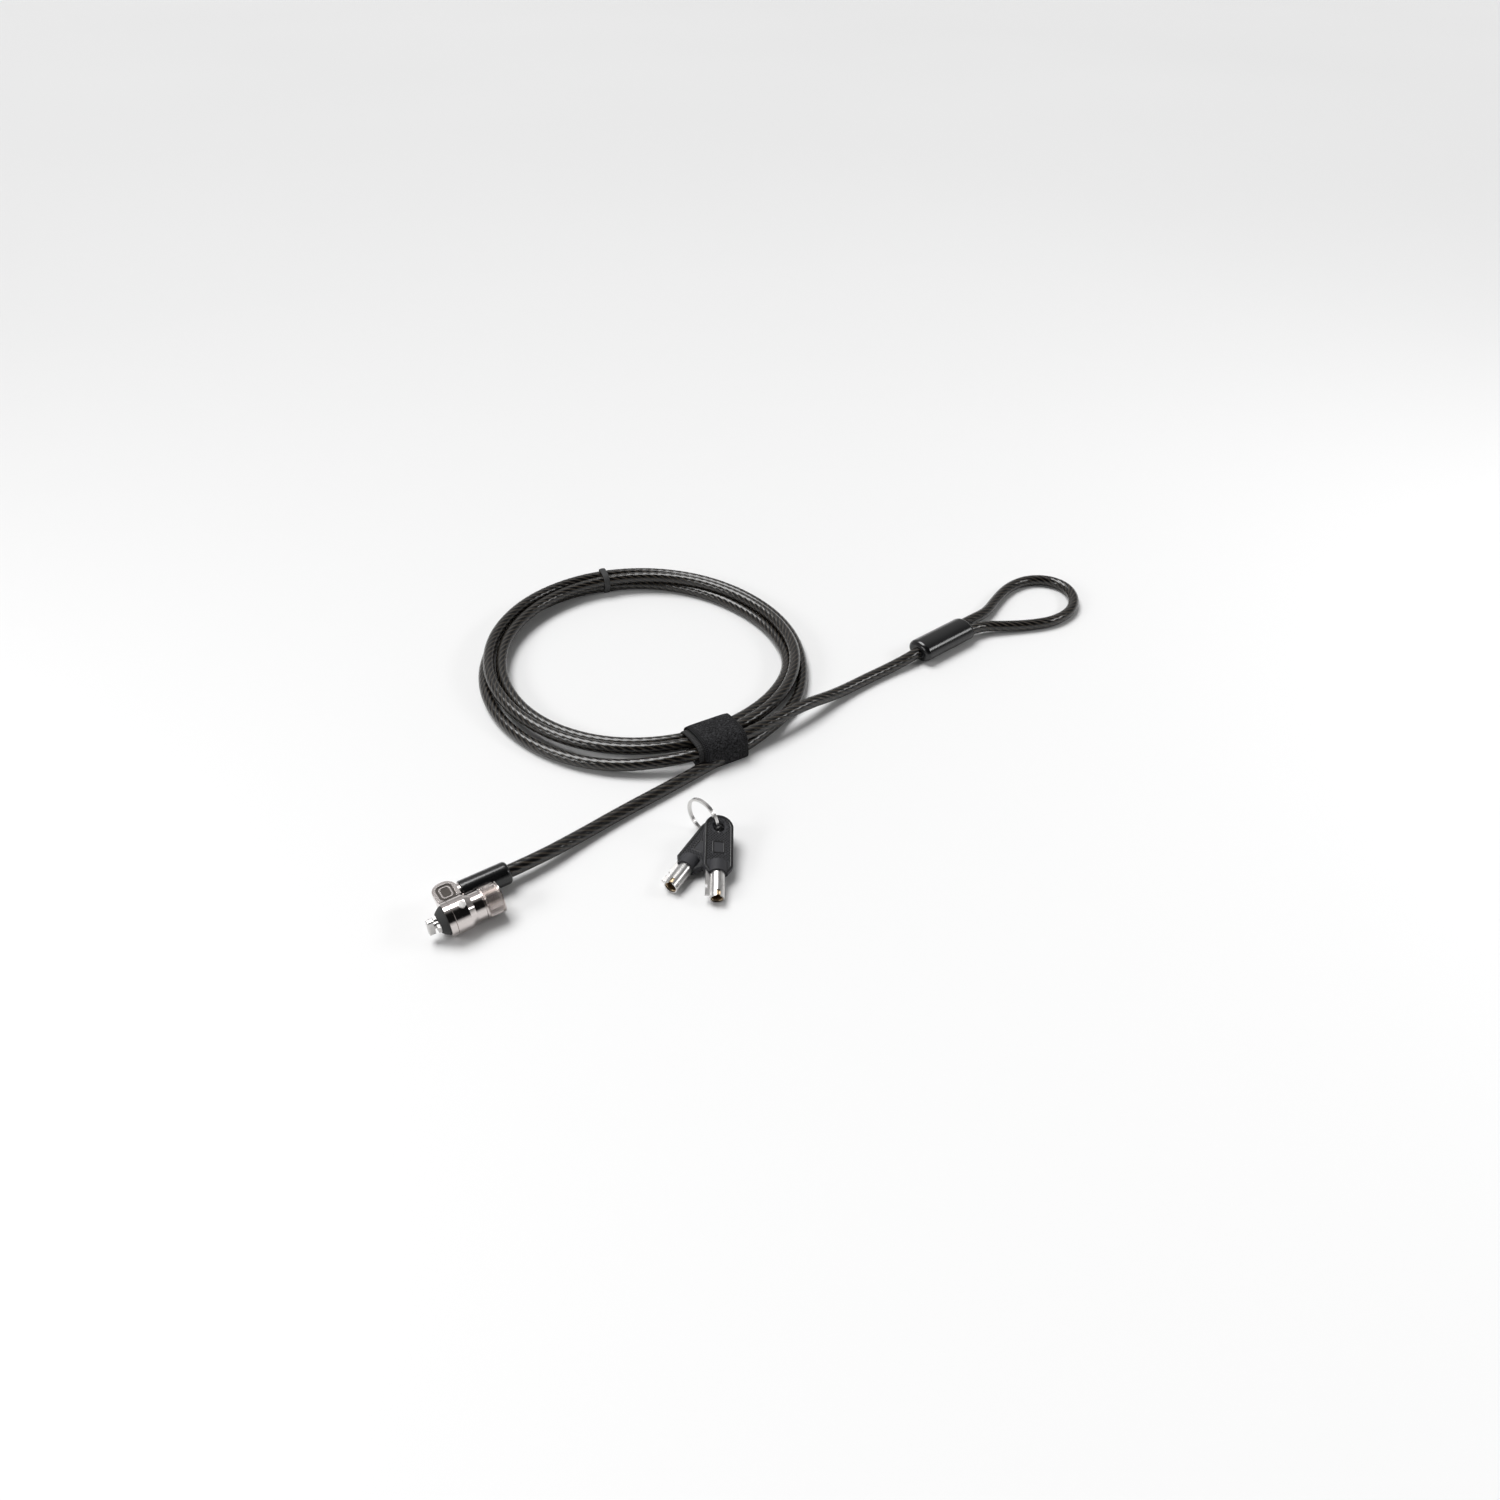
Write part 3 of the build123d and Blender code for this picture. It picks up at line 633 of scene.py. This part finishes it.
def route_points():
    """Every point of the cable's one spline, in metres."""
    sleeve_in = [at_sleeve(*p) for p in INTO_SLEEVE]
    sleeve_back = [at_sleeve(*p) for p in BACK_IN_SLEEVE]
    head = [Vector(p) * MM for p in LEAD]
    tail = [Vector(p) * MM for p in (*TAIL, *sleeve_in, *LOOP, *sleeve_back)]
    return head + coil_points() + tail


# ---- settings ----
class CableLockSettings(bpy.types.PropertyGroup):
    """Sizes and colours of the cable lock."""

    cable_diameter: FloatProperty(
        name="Cable diameter", description="Outside of the cable's jacket", default=0.0055, unit="LENGTH"
    )
    cable_length: FloatProperty(
        name="Cable length", description="From the sleeve to the end of the loop", default=1.86, unit="LENGTH"
    )
    strap_width: FloatProperty(
        name="Strap width", description="Width of the hook and loop strap", default=0.021, unit="LENGTH"
    )
    strap_thickness: FloatProperty(
        name="Strap thickness", description="Thickness of one layer of the strap", default=0.0011,
        unit="LENGTH",
    )
    band_width: FloatProperty(
        name="Band width", description="Width of the rubber band", default=0.0030, unit="LENGTH"
    )
    knurl_count: IntProperty(name="Knurl count", description="Diamonds round the grip", default=32, min=8)
    knurl_rows: IntProperty(name="Knurl rows", description="Diamonds along the grip", default=7, min=2)
    knurl_depth: FloatProperty(
        name="Knurl depth", description="Depth of the diamonds", default=0.00055, unit="LENGTH"
    )
    knit_pitch: FloatProperty(
        name="Knit pitch", description="Spacing of the domes on the bows", default=0.00085, unit="LENGTH"
    )
    light_level: FloatProperty(name="Light level", description="Brightness of the studio", default=1.0, min=0)
    floor_colour: FloatVectorProperty(
        name="Floor colour", description="Colour of the plain floor", default=(0.82, 0.82, 0.82),
        subtype="COLOR",
    )


# ---- the studio ----
CAMERA_EYE = (-0.0568, -0.2920, 0.3144)
CAMERA_AIM = (0.1573, 0.0255, -0.0070)
FLOOR_HALF = 9.0
DARK_WALL = (-0.10, -0.66, 0.74)  # which way the studio is dark, and which way it is bright
BRIGHT_WALL = (0.10, 0.62, 0.78)
LAMPS = (  # kind, name, place, power, size
    ("SUN", "sun_soft", (0.05, 0.55, 1.0), 2.6, 0.62),
    ("AREA", "lamp_left", (-0.60, 0.10, 0.42), 1.6, 0.40),
    ("AREA", "lamp_right", (0.75, -0.35, 0.45), 1.1, 0.30),
)


# ---- operators ----
class CABLELOCK_OT_stage(bpy.types.Operator):
    """Set up the camera, the pale floor and soft studio light"""

    bl_idname = "cablelock.stage"
    bl_label = "Stage"

    def execute(self, context):
        settings = context.scene.cable_lock
        data = bpy.data.cameras.new("camera")
        data.sensor_width = 36.0
        data.lens = 26.5
        data.clip_start = 0.01
        data.clip_end = 20.0
        camera = bpy.data.objects.new("camera", data)
        eye, aim = Vector(CAMERA_EYE), Vector(CAMERA_AIM)
        camera.location = eye
        camera.rotation_mode = "QUATERNION"
        camera.rotation_quaternion = (aim - eye).to_track_quat("-Z", "Y")
        context.scene.collection.objects.link(camera)
        context.scene.camera = camera

        mesh = bpy.data.meshes.new("floor")
        half = FLOOR_HALF
        corners = [(-half, -half), (half, -half), (half, half), (-half, half)]
        mesh.from_pydata([(x, y, FLOOR_Z - 0.00002) for x, y in corners], [], [(0, 1, 2, 3)])
        floor = add_piece("floor", mesh, pale_floor, smooth=False)

        world = bpy.data.worlds.new("studio")
        world.use_nodes = True
        back = world.node_tree.nodes["Background"]
        studio = Recipe(world.node_tree)
        x, y, z = studio.parts(studio.node("ShaderNodeTexCoord", output="Generated"))
        dark_wall = sum(a * b for a, b in zip((x, y, z), DARK_WALL)).between(0.55, 0.86)
        bright_wall = sum(a * b for a, b in zip((x, y, z), BRIGHT_WALL)).between(0.60, 0.95)
        horizon = 0.85 - z.between(0.08, 0.36) * 0.85
        level = ((0.20 + bright_wall * 0.35) * (1 - dark_wall * 0.96)).at_least(horizon)
        back.inputs["Color"].default_value = (1.0, 1.0, 1.0, 1.0)
        plug(world.node_tree, back.inputs["Strength"], level * settings.light_level)
        context.scene.world = world
        target = Vector((0.16, 0.07, 0))
        for kind, name, place, power, spread in LAMPS:
            lamp = bpy.data.lights.new(name, kind)
            lamp.energy = power * settings.light_level
            if kind == "SUN":
                lamp.angle = spread
            else:
                lamp.shape = "RECTANGLE"
                lamp.size = spread
                lamp.size_y = spread * 0.5
            holder = bpy.data.objects.new(name, lamp)
            holder.location = place
            holder.rotation_mode = "QUATERNION"
            holder.rotation_quaternion = (target - Vector(place)).to_track_quat("-Z", "Y")
            context.scene.collection.objects.link(holder)
        context.scene.view_settings.view_transform = "Standard"
        return {"FINISHED"}


class CABLELOCK_OT_cable(bpy.types.Operator):
    """Lay the cable on one smooth line, from the head through the coil to the end loop"""

    bl_idname = "cablelock.cable"
    bl_label = "Cable"

    def execute(self, context):
        settings = context.scene.cable_lock
        line = nurbs_line("cable_route", route_points())
        mesh = tube("security_cable", line, settings.cable_diameter / 2, 24)
        cable = add_piece("security_cable", mesh, cable_jacket)
        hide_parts("cable_lead", "cable_coil", "cable_tail")
        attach(cable, "cable")
        return {"FINISHED"}


def hoop_round(name, travel, outline, thickness, width, shift=0.0):
    """A flat band round the coil's section: outline swept along the coil by width."""
    along = []
    length = [0.0]
    for a, b in zip(outline, outline[1:] + outline[:1]):
        length.append(length[-1] + math.dist(a, b))
    middle = Vector(outline[0]) * 0
    for p in outline:
        middle += Vector(p) / len(outline)
    turn = math.radians(STRAP_ANGLE + travel)
    radial = Vector((math.cos(turn), math.sin(turn), 0))
    tangent = Vector((-math.sin(turn), math.cos(turn), 0))
    centre = Vector((COIL_CENTRE[0], COIL_CENTRE[1], 0))
    count = len(outline)
    across = 10
    for k in range(count + 1):
        x, z = outline[k % count]
        before = Vector(outline[(k - 1) % count])
        after = Vector(outline[(k + 1) % count])
        way = (after - before).normalized()
        outside = Vector((way.y, -way.x))
        if outside.dot(Vector((x, z)) - middle) < 0:
            outside = -outside
        ring = []
        for side, lift in ((0, 0.0), (1, thickness)):
            steps = range(across + 1) if side == 0 else range(across, -1, -1)
            for j in steps:
                share = j / across - 0.5
                edge = (abs(share) * 2) ** 6
                rounded = thickness * 0.22 * edge * (1 if side == 0 else -1)
                here = Vector((x, z)) + outside * (lift + rounded)
                height = max(here.y, FLOOR_Z + 0.00003)
                sideways = tangent * (share * width + shift)
                ring.append(centre + radial * here.x + sideways + Vector((0, 0, height)))
        along.append(ring)
    mesh = skin(name, along, caps=False, uv_along=length)
    layer = mesh.uv_layers["along"]
    per_ring = 2 * (across + 1)
    for face in mesh.polygons:
        j = face.index % per_ring
        values = (j, j + 1, j + 1, j)
        for loop, column in zip(face.loop_indices, values):
            place = column if column <= across else per_ring - 1 - column
            layer.data[loop].uv.y = max(0.0, place / across)
    outward(mesh)
    return mesh


class CABLELOCK_OT_strap(bpy.types.Operator):
    """Wrap the hook and loop strap round the coil in two layers"""

    bl_idname = "cablelock.strap"
    bl_label = "Strap"

    def execute(self, context):
        settings = context.scene.cable_lock
        reach = settings.cable_diameter / 2 + 0.0002
        strands = bundle_at(0) + [(coil_middle(0) + TAIL_IN_STRAP[0], LIE + TAIL_IN_STRAP[1])]
        inner_outline = wrapped(strands, reach)
        outer_outline = wrapped(strands, reach + settings.strap_thickness + 0.00025)
        inner = add_piece(
            "strap_hook_layer",
            hoop_round(
                "strap_hook_layer", 0, inner_outline, settings.strap_thickness,
                settings.strap_width, shift=-0.0024,
            ),
            strap_hooks,
        )
        outer = add_piece(
            "strap_loop_layer",
            hoop_round("strap_loop_layer", 0, outer_outline, settings.strap_thickness, settings.strap_width),
            strap_webbing,
        )
        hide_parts("cable_strap")
        for piece in (inner, outer):
            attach(piece, "cable")
        return {"FINISHED"}


class CABLELOCK_OT_band(bpy.types.Operator):
    """Snap the rubber band round the far side of the coil"""

    bl_idname = "cablelock.band"
    bl_label = "Rubber band"

    def execute(self, context):
        settings = context.scene.cable_lock
        outline = wrapped(bundle_at(BAND_TRAVEL), settings.cable_diameter / 2 + 0.0001, samples=60)
        mesh = hoop_round("coil_rubber_band", BAND_TRAVEL, outline, 0.0011, settings.band_width)
        band = add_piece("coil_rubber_band", mesh, band_rubber)
        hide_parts("rubber_band")
        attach(band, "cable")
        return {"FINISHED"}


GRIP_BORE = 0.00542  # clears the barrel inside the grip


def knurl_tree():
    """Geometry nodes for a sleeve with a diamond knurl, about the X axis."""
    tree = bpy.data.node_groups.new("diamond_knurl", "GeometryNodeTree")
    sockets = (
        ("Start", "NodeSocketFloat"), ("Length", "NodeSocketFloat"), ("Radius", "NodeSocketFloat"),
        ("Depth", "NodeSocketFloat"), ("Count", "NodeSocketInt"), ("Rows", "NodeSocketInt"),
        ("Finish", "NodeSocketMaterial"),
    )
    for name, kind in sockets:
        tree.interface.new_socket(name, in_out="INPUT", socket_type=kind)
    tree.interface.new_socket("Geometry", in_out="OUTPUT", socket_type="NodeSocketGeometry")
    r = Recipe(tree)
    entry = tree.nodes.new("NodeGroupInput")
    wires = {s.name: Wire(tree, s) for s in entry.outputs if s.name}
    fine = 6
    around = wires["Count"] * fine
    along = wires["Rows"] * fine
    sizes = {"Size X": 1.0, "Size Y": 1.0, "Vertices X": around + 1, "Vertices Y": along + 1}
    sheet = r.node("GeometryNodeMeshGrid", sizes)
    u, v, _ = r.parts(r.node("GeometryNodeInputPosition"))
    turn = u + 0.5
    reach = v + 0.5
    slant_a = (turn * wires["Count"] + reach * wires["Rows"]).triangle()
    slant_b = (turn * wires["Count"] - reach * wires["Rows"]).triangle()
    diamond = slant_a.at_most(slant_b).at_most(0.9) * (1 / 0.9)
    ends = (reach * 14).at_most((1 - reach) * 14).at_most(1.0)
    radius = wires["Radius"] - wires["Depth"] * (1 - diamond * ends)
    angle = turn * (2 * math.pi)
    place = r.join(wires["Start"] + reach * wires["Length"], radius * angle.cos(), radius * angle.sin())
    moved = r.node("GeometryNodeSetPosition", {"Geometry": sheet, "Position": place})
    closed = r.node("GeometryNodeMergeByDistance", {"Geometry": moved, "Distance": 0.000001})
    real = r.node("GeometryNodeRealizeInstances", {"Geometry": closed})
    painted = r.node("GeometryNodeSetMaterial", {"Geometry": real, "Material": wires["Finish"]})
    leave = tree.nodes.new("NodeGroupOutput")
    plug(tree, leave.inputs[0], painted)
    return tree


def grown(name, tree, values):
    """The plain mesh that a geometry node tree makes."""
    seed = bpy.data.objects.new(name, bpy.data.meshes.new(name))
    bpy.context.scene.collection.objects.link(seed)
    modifier = seed.modifiers.new("made", "NODES")
    modifier.node_group = tree
    for item in tree.interface.items_tree:
        if item.in_out == "INPUT" and item.name in values:
            modifier[item.identifier] = values[item.name]
    bpy.context.view_layer.update()
    seen = seed.evaluated_get(bpy.context.evaluated_depsgraph_get())
    mesh = bpy.data.meshes.new_from_object(seen)
    mesh.name = name
    bpy.data.objects.remove(seed)
    return mesh


class CABLELOCK_OT_grip(bpy.types.Operator):
    """Cut the diamond knurl of the barrel's grip"""

    bl_idname = "cablelock.grip"
    bl_label = "Knurled grip"

    def execute(self, context):
        settings = context.scene.cable_lock
        low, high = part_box("knurled_grip")
        collar = 0.0009
        outside = (high[1] - low[1]) / 2
        values = {
            "Start": low[0] + collar,
            "Length": high[0] - low[0] - 2 * collar,
            "Radius": outside,
            "Depth": settings.knurl_depth,
            "Count": settings.knurl_count,
            "Rows": settings.knurl_rows,
            "Finish": finish_named(polished_chrome),
        }
        mesh = grown("knurled_sleeve", knurl_tree(), values)
        root = outside - settings.knurl_depth
        shape = bmesh.new()
        shape.from_mesh(mesh)
        profiles = [
            (
                (end + way * collar, root), (end + way * 0.0006, outside), (end + way * 0.0002, outside),
                (end, root), (end, GRIP_BORE),
            )
            for end, way in ((low[0], 1), (high[0], -1))
        ]
        sides = 96
        for profile in profiles:
            rows = []
            for x, radius in profile:
                row = []
                for j in range(sides):
                    angle = 2 * math.pi * j / sides
                    row.append(shape.verts.new((x, radius * math.cos(angle), radius * math.sin(angle))))
                rows.append(row)
            for before, after in zip(rows, rows[1:]):
                for j in range(sides):
                    k = (j + 1) % sides
                    shape.faces.new((before[j], before[k], after[k], after[j]))
        bmesh.ops.recalc_face_normals(shape, faces=shape.faces)
        shape.to_mesh(mesh)
        shape.free()
        grip = add_piece("knurled_sleeve", mesh, polished_chrome, smooth=False)
        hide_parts("knurled_grip")
        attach(grip, "barrel")
        return {"FINISHED"}


# ---- the keys, in millimetres: distances run from a tube's open end to its ring hole ----
KEY_TILT = (2.0, 10.5)
KEY_ROLL = (0.0, 11.0)
KEY_HEADING = (27.0, 56.0)
KEY_TIP = ((82.7, -29.7), (94.7, -44.6))
TUBE_R = 2.95
NECK_R = 3.85
BOW_START = 11.5
NECK_END = 16.5
HOLE_AT = 33.5
BOW_W = 11.8
BOW_T = 2.6
BOW_END = HOLE_AT + 5.6
BADGE_AT = 23.4
BADGE = (6.0, 5.2, 0.9)  # length, width and corner radius of the plain outline
BADGE_CLEAR = (3.3, 2.9)  # half the field round it that has no domes
HOLE_CLEAR = 3.15
DOME_HEIGHT = 0.16
# insets from an outline, and heights over the bow's face
RIM_PROFILE = ((0.25, -0.05), (0.33, 0.14), (0.50, 0.18), (1.00, 0.18), (1.18, 0.12), (1.26, -0.05))
BADGE_PROFILE = ((0.0, -0.05), (0.05, 0.12), (0.15, 0.16), (0.55, 0.16), (0.65, 0.12), (0.70, -0.05))


def key_axes(index):
    """A key's open end, the way to its ring hole, the way across it and the way up out of its bow."""
    tilt = math.radians(KEY_TILT[index])
    heading = math.radians(KEY_HEADING[index])
    roll = math.radians(KEY_ROLL[index])
    forward = Vector((math.cos(heading) * math.cos(tilt), math.sin(heading) * math.cos(tilt), math.sin(tilt)))
    side = Vector((-math.sin(heading), math.cos(heading), 0))
    up = forward.cross(side) * math.cos(roll) - side * math.sin(roll)
    x, y = KEY_TIP[index]
    rise = max(TUBE_R / math.cos(tilt), NECK_R * math.cos(tilt) - BOW_START * math.sin(tilt))
    tip = Vector((x, y, FLOOR_Z / MM + 0.02 + rise))
    return tip, forward, up.cross(forward), up


def inset(outline, distance):
    """A convex outline, given anticlockwise, moved inwards."""
    moved = []
    for before, here, after in zip(outline[-1:] + outline[:-1], outline, outline[1:] + outline[:1]):
        a = (Vector(here) - Vector(before)).normalized()
        b = (Vector(after) - Vector(here)).normalized()
        normal = (Vector((-a.y, a.x)) + Vector((-b.y, b.x))).normalized()
        moved.append(Vector(here) + normal * (distance / max(0.5, normal.dot(Vector((-a.y, a.x))))))
    return moved


def rounded_rectangle(middle, length, width, radius, steps=6):
    """Anticlockwise points of a rectangle with round corners."""
    points = []
    for corner, (su, sv) in enumerate(((1, 1), (-1, 1), (-1, -1), (1, -1))):
        for k in range(steps + 1):
            angle = math.radians(90 * (corner + k / steps))
            points.append(
                (
                    middle[0] + su * (length / 2 - radius) + radius * math.cos(angle),
                    middle[1] + sv * (width / 2 - radius) + radius * math.sin(angle),
                )
            )
    return points


def bow_outline(steps=20):
    """Anticlockwise points round a key's bow, along and across the key."""
    half = BOW_W / 2
    points = [(BOW_START, half - 2), (BOW_START, 2 - half), (BOW_START + 3, -half)]
    for k in range(steps + 1):
        angle = math.radians(-90 + 180 * k / steps)
        points.append((BOW_END - half + half * math.cos(angle), half * math.sin(angle)))
    return points + [(BOW_START + 3, half)]


def raised_line(outline, profile):
    """Rings of a low ridge that follows an outline. The profile holds insets and heights."""
    loops = [inset(outline, distance) for distance, _ in profile]
    count = len(outline)
    return [
        [Vector((*loops[row][k % count], height)) for row, (_, height) in enumerate(profile)]
        for k in range(count + 1)
    ]


def knit_tree():
    """Geometry nodes for a staggered field of low domes, clear of the bow's hole, badge and neck."""
    tree = bpy.data.node_groups.new("knit_field", "GeometryNodeTree")
    sockets = (
        ("Start", "NodeSocketFloat"), ("End", "NodeSocketFloat"), ("Width", "NodeSocketFloat"),
        ("Pitch", "NodeSocketFloat"), ("Dome", "NodeSocketFloat"), ("Hole", "NodeSocketFloat"),
        ("Badge", "NodeSocketFloat"), ("Finish", "NodeSocketMaterial"),
    )
    for name, kind in sockets:
        tree.interface.new_socket(name, in_out="INPUT", socket_type=kind)
    tree.interface.new_socket("Geometry", in_out="OUTPUT", socket_type="NodeSocketGeometry")
    r = Recipe(tree)
    entry = tree.nodes.new("NodeGroupInput")
    wires = {s.name: Wire(tree, s) for s in entry.outputs if s.name}
    reach = wires["End"] - wires["Start"]
    span = reach * 1.5
    count = span / wires["Pitch"]
    sizes = {"Size X": span, "Size Y": span, "Vertices X": count, "Vertices Y": count}
    sheet = r.node("GeometryNodeMeshGrid", sizes)
    a, b, _ = r.parts(r.node("GeometryNodeInputPosition"))
    middle = (wires["Start"] + wires["End"]) * 0.5
    turned = r.join((a - b) * math.sqrt(0.5) + middle, (a + b) * math.sqrt(0.5), 0.0)
    laid = r.node("GeometryNodeSetPosition", {"Geometry": sheet, "Position": turned})
    u, v, _ = r.parts(r.node("GeometryNodeInputPosition"))
    half = wires["Width"] * 0.5
    beyond = (u - (wires["End"] - half)).at_least(0.0)
    off_axis = (beyond * beyond + v * v).square_root()
    from_hole = ((u - wires["Hole"]) * (u - wires["Hole"]) + v * v).square_root()
    on_bow = (half - off_axis).above(0.0) * (u - wires["Start"]).above(0.0)
    off_hole = from_hole.above(HOLE_CLEAR * MM)
    past_length = abs(u - wires["Badge"]) - BADGE_CLEAR[0] * MM
    off_badge = past_length.at_least(abs(v) - BADGE_CLEAR[1] * MM).above(0.0)
    dome = r.node(
        "GeometryNodeMeshCone",
        {
            "Vertices": 6, "Radius Top": wires["Dome"] * 0.4, "Radius Bottom": wires["Dome"],
            "Depth": DOME_HEIGHT * MM,
        },
    )
    spread = r.node(
        "GeometryNodeInstanceOnPoints",
        {"Points": laid, "Selection": on_bow * off_hole * off_badge, "Instance": dome},
    )
    real = r.node("GeometryNodeRealizeInstances", {"Geometry": spread})
    painted = r.node("GeometryNodeSetMaterial", {"Geometry": real, "Material": wires["Finish"]})
    leave = tree.nodes.new("NodeGroupOutput")
    plug(tree, leave.inputs[0], painted)
    return tree


def laid_on_key(mesh, index, side):
    """Moves a mesh made on a bow's flat face, in millimetres, to one side of a key."""
    tip, forward, across, up = key_axes(index)
    for vertex in mesh.vertices:
        u, v, h = vertex.co
        vertex.co = (tip + forward * u + across * v * side + up * side * (BOW_T / 2 + h)) * MM


def on_both_faces(name, make, index):
    """One closed mesh of a detail that is made for the upper and the lower face of a bow."""
    shape = bmesh.new()
    for side in (1, -1):
        mesh = make()
        laid_on_key(mesh, index, side)
        shape.from_mesh(mesh)
        bpy.data.meshes.remove(mesh)
    mesh = bpy.data.meshes.new(name)
    shape.to_mesh(mesh)
    shape.free()
    outward(mesh)
    return mesh


class CABLELOCK_OT_bows(bpy.types.Operator):
    """Raise the rim, the plain badge outline and the knitted domes on both faces of each key's bow"""

    bl_idname = "cablelock.bows"
    bl_label = "Key bows"

    def execute(self, context):
        settings = context.scene.cable_lock
        tree = knit_tree()
        values = {
            "Start": (NECK_END + 0.6) * MM, "End": (BOW_END - 1.5) * MM, "Width": (BOW_W - 3.0) * MM,
            "Pitch": settings.knit_pitch, "Dome": settings.knit_pitch * 0.46, "Hole": HOLE_AT * MM,
            "Badge": BADGE_AT * MM, "Finish": finish_named(smooth_rim_plastic),
        }

        def rim():
            return skin("bow_rim", raised_line(bow_outline(), RIM_PROFILE), caps=False)

        def badge():
            outline = rounded_rectangle((BADGE_AT, 0), *BADGE)
            return skin("bow_badge", raised_line(outline, BADGE_PROFILE), caps=False)

        def knit():
            mesh = grown("bow_knit", tree, values)
            for vertex in mesh.vertices:
                vertex.co = vertex.co / MM
            return mesh

        for index in range(2):
            for name, make in (("bow_rim", rim), ("bow_badge", badge), ("bow_knit", knit)):
                self.place(f"{name}_{index + 1}", on_both_faces(name, make, index), index)
        return {"FINISHED"}

    def place(self, name, mesh, index):
        piece = add_piece(name, mesh, smooth_rim_plastic, smooth=False)
        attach(piece, f"key_{index + 1}")


class CABLELOCK_OT_ear(bpy.types.Operator):
    """Lay the dark panel in the ear's recess, round the raised outline"""

    bl_idname = "cablelock.ear"
    bl_label = "Ear panel"

    def execute(self, context):
        low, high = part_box("ear_plaque")
        middle = ((low[0] + high[0]) / 2, (low[1] + high[1]) / 2)
        margin = 1.9 * MM
        length, width = high[0] - low[0] + margin, high[1] - low[1] + margin
        outline = rounded_rectangle(middle, length, width, 2.1 * MM)
        sunk, face = low[2] + 0.01 * MM, low[2] + 0.10 * MM
        rings = [[Vector((*p, sunk)) for p in outline], [Vector((*p, face)) for p in outline]]
        mesh = skin("ear_panel", rings)
        outward(mesh)
        panel = add_piece("ear_panel", mesh, dark_inlay, smooth=False)
        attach(panel, "ear")
        return {"FINISHED"}


class CABLELOCK_OT_finishes(bpy.types.Operator):
    """Give every part of the frame its finish"""

    bl_idname = "cablelock.finishes"
    bl_label = "Finishes"

    def execute(self, context):
        for part in frame["record"]["subparts"]:
            node = frame["nodes"][part["node"]]
            make = FINISH_OF_NODE.get(part["node"], FINISH_OF_SLOT[part["material_slot"]])
            finish = finish_named(make)
            if not node.material_slots:
                raise RuntimeError(node.name + " has no material slot")
            for entry in node.material_slots:
                entry.material = finish
        return {"FINISHED"}


class CABLELOCK_OT_declare(bpy.types.Operator):
    """Trace the cable's route as a spline once; nothing of it is kept"""

    bl_idname = "cablelock.declare"
    bl_label = "Cable facts"

    def execute(self, context):
        nurbs_line("cable_path", route_points())
        return {"FINISHED"}


STEPS = (
    CABLELOCK_OT_stage,
    CABLELOCK_OT_cable,
    CABLELOCK_OT_strap,
    CABLELOCK_OT_band,
    CABLELOCK_OT_grip,
    CABLELOCK_OT_bows,
    CABLELOCK_OT_ear,
    CABLELOCK_OT_finishes,
    CABLELOCK_OT_declare,
)


class CABLELOCK_PT_panel(bpy.types.Panel):
    """Lists the steps that make the cable lock"""

    bl_idname = "CABLELOCK_PT_panel"
    bl_label = "Cable lock"
    bl_space_type = "VIEW_3D"
    bl_region_type = "UI"
    bl_category = "Cable lock"

    def draw(self, context):
        settings = context.scene.cable_lock
        for name in CableLockSettings.__annotations__:
            self.layout.prop(settings, name)
        for step in STEPS:
            self.layout.operator(step.bl_idname)


CLASSES = (CableLockSettings, *STEPS, CABLELOCK_PT_panel)


def register():
    for each in CLASSES:
        bpy.utils.register_class(each)
    bpy.types.Scene.cable_lock = PointerProperty(type=CableLockSettings)


def unregister():
    del bpy.types.Scene.cable_lock
    for each in reversed(CLASSES):
        bpy.utils.unregister_class(each)


def main():
    """Makes the whole lock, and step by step."""
    register()
    for step in STEPS:
        group, name = step.bl_idname.split(".")
        getattr(getattr(bpy.ops, group), name)()


if __name__ == "__main__":
    main()
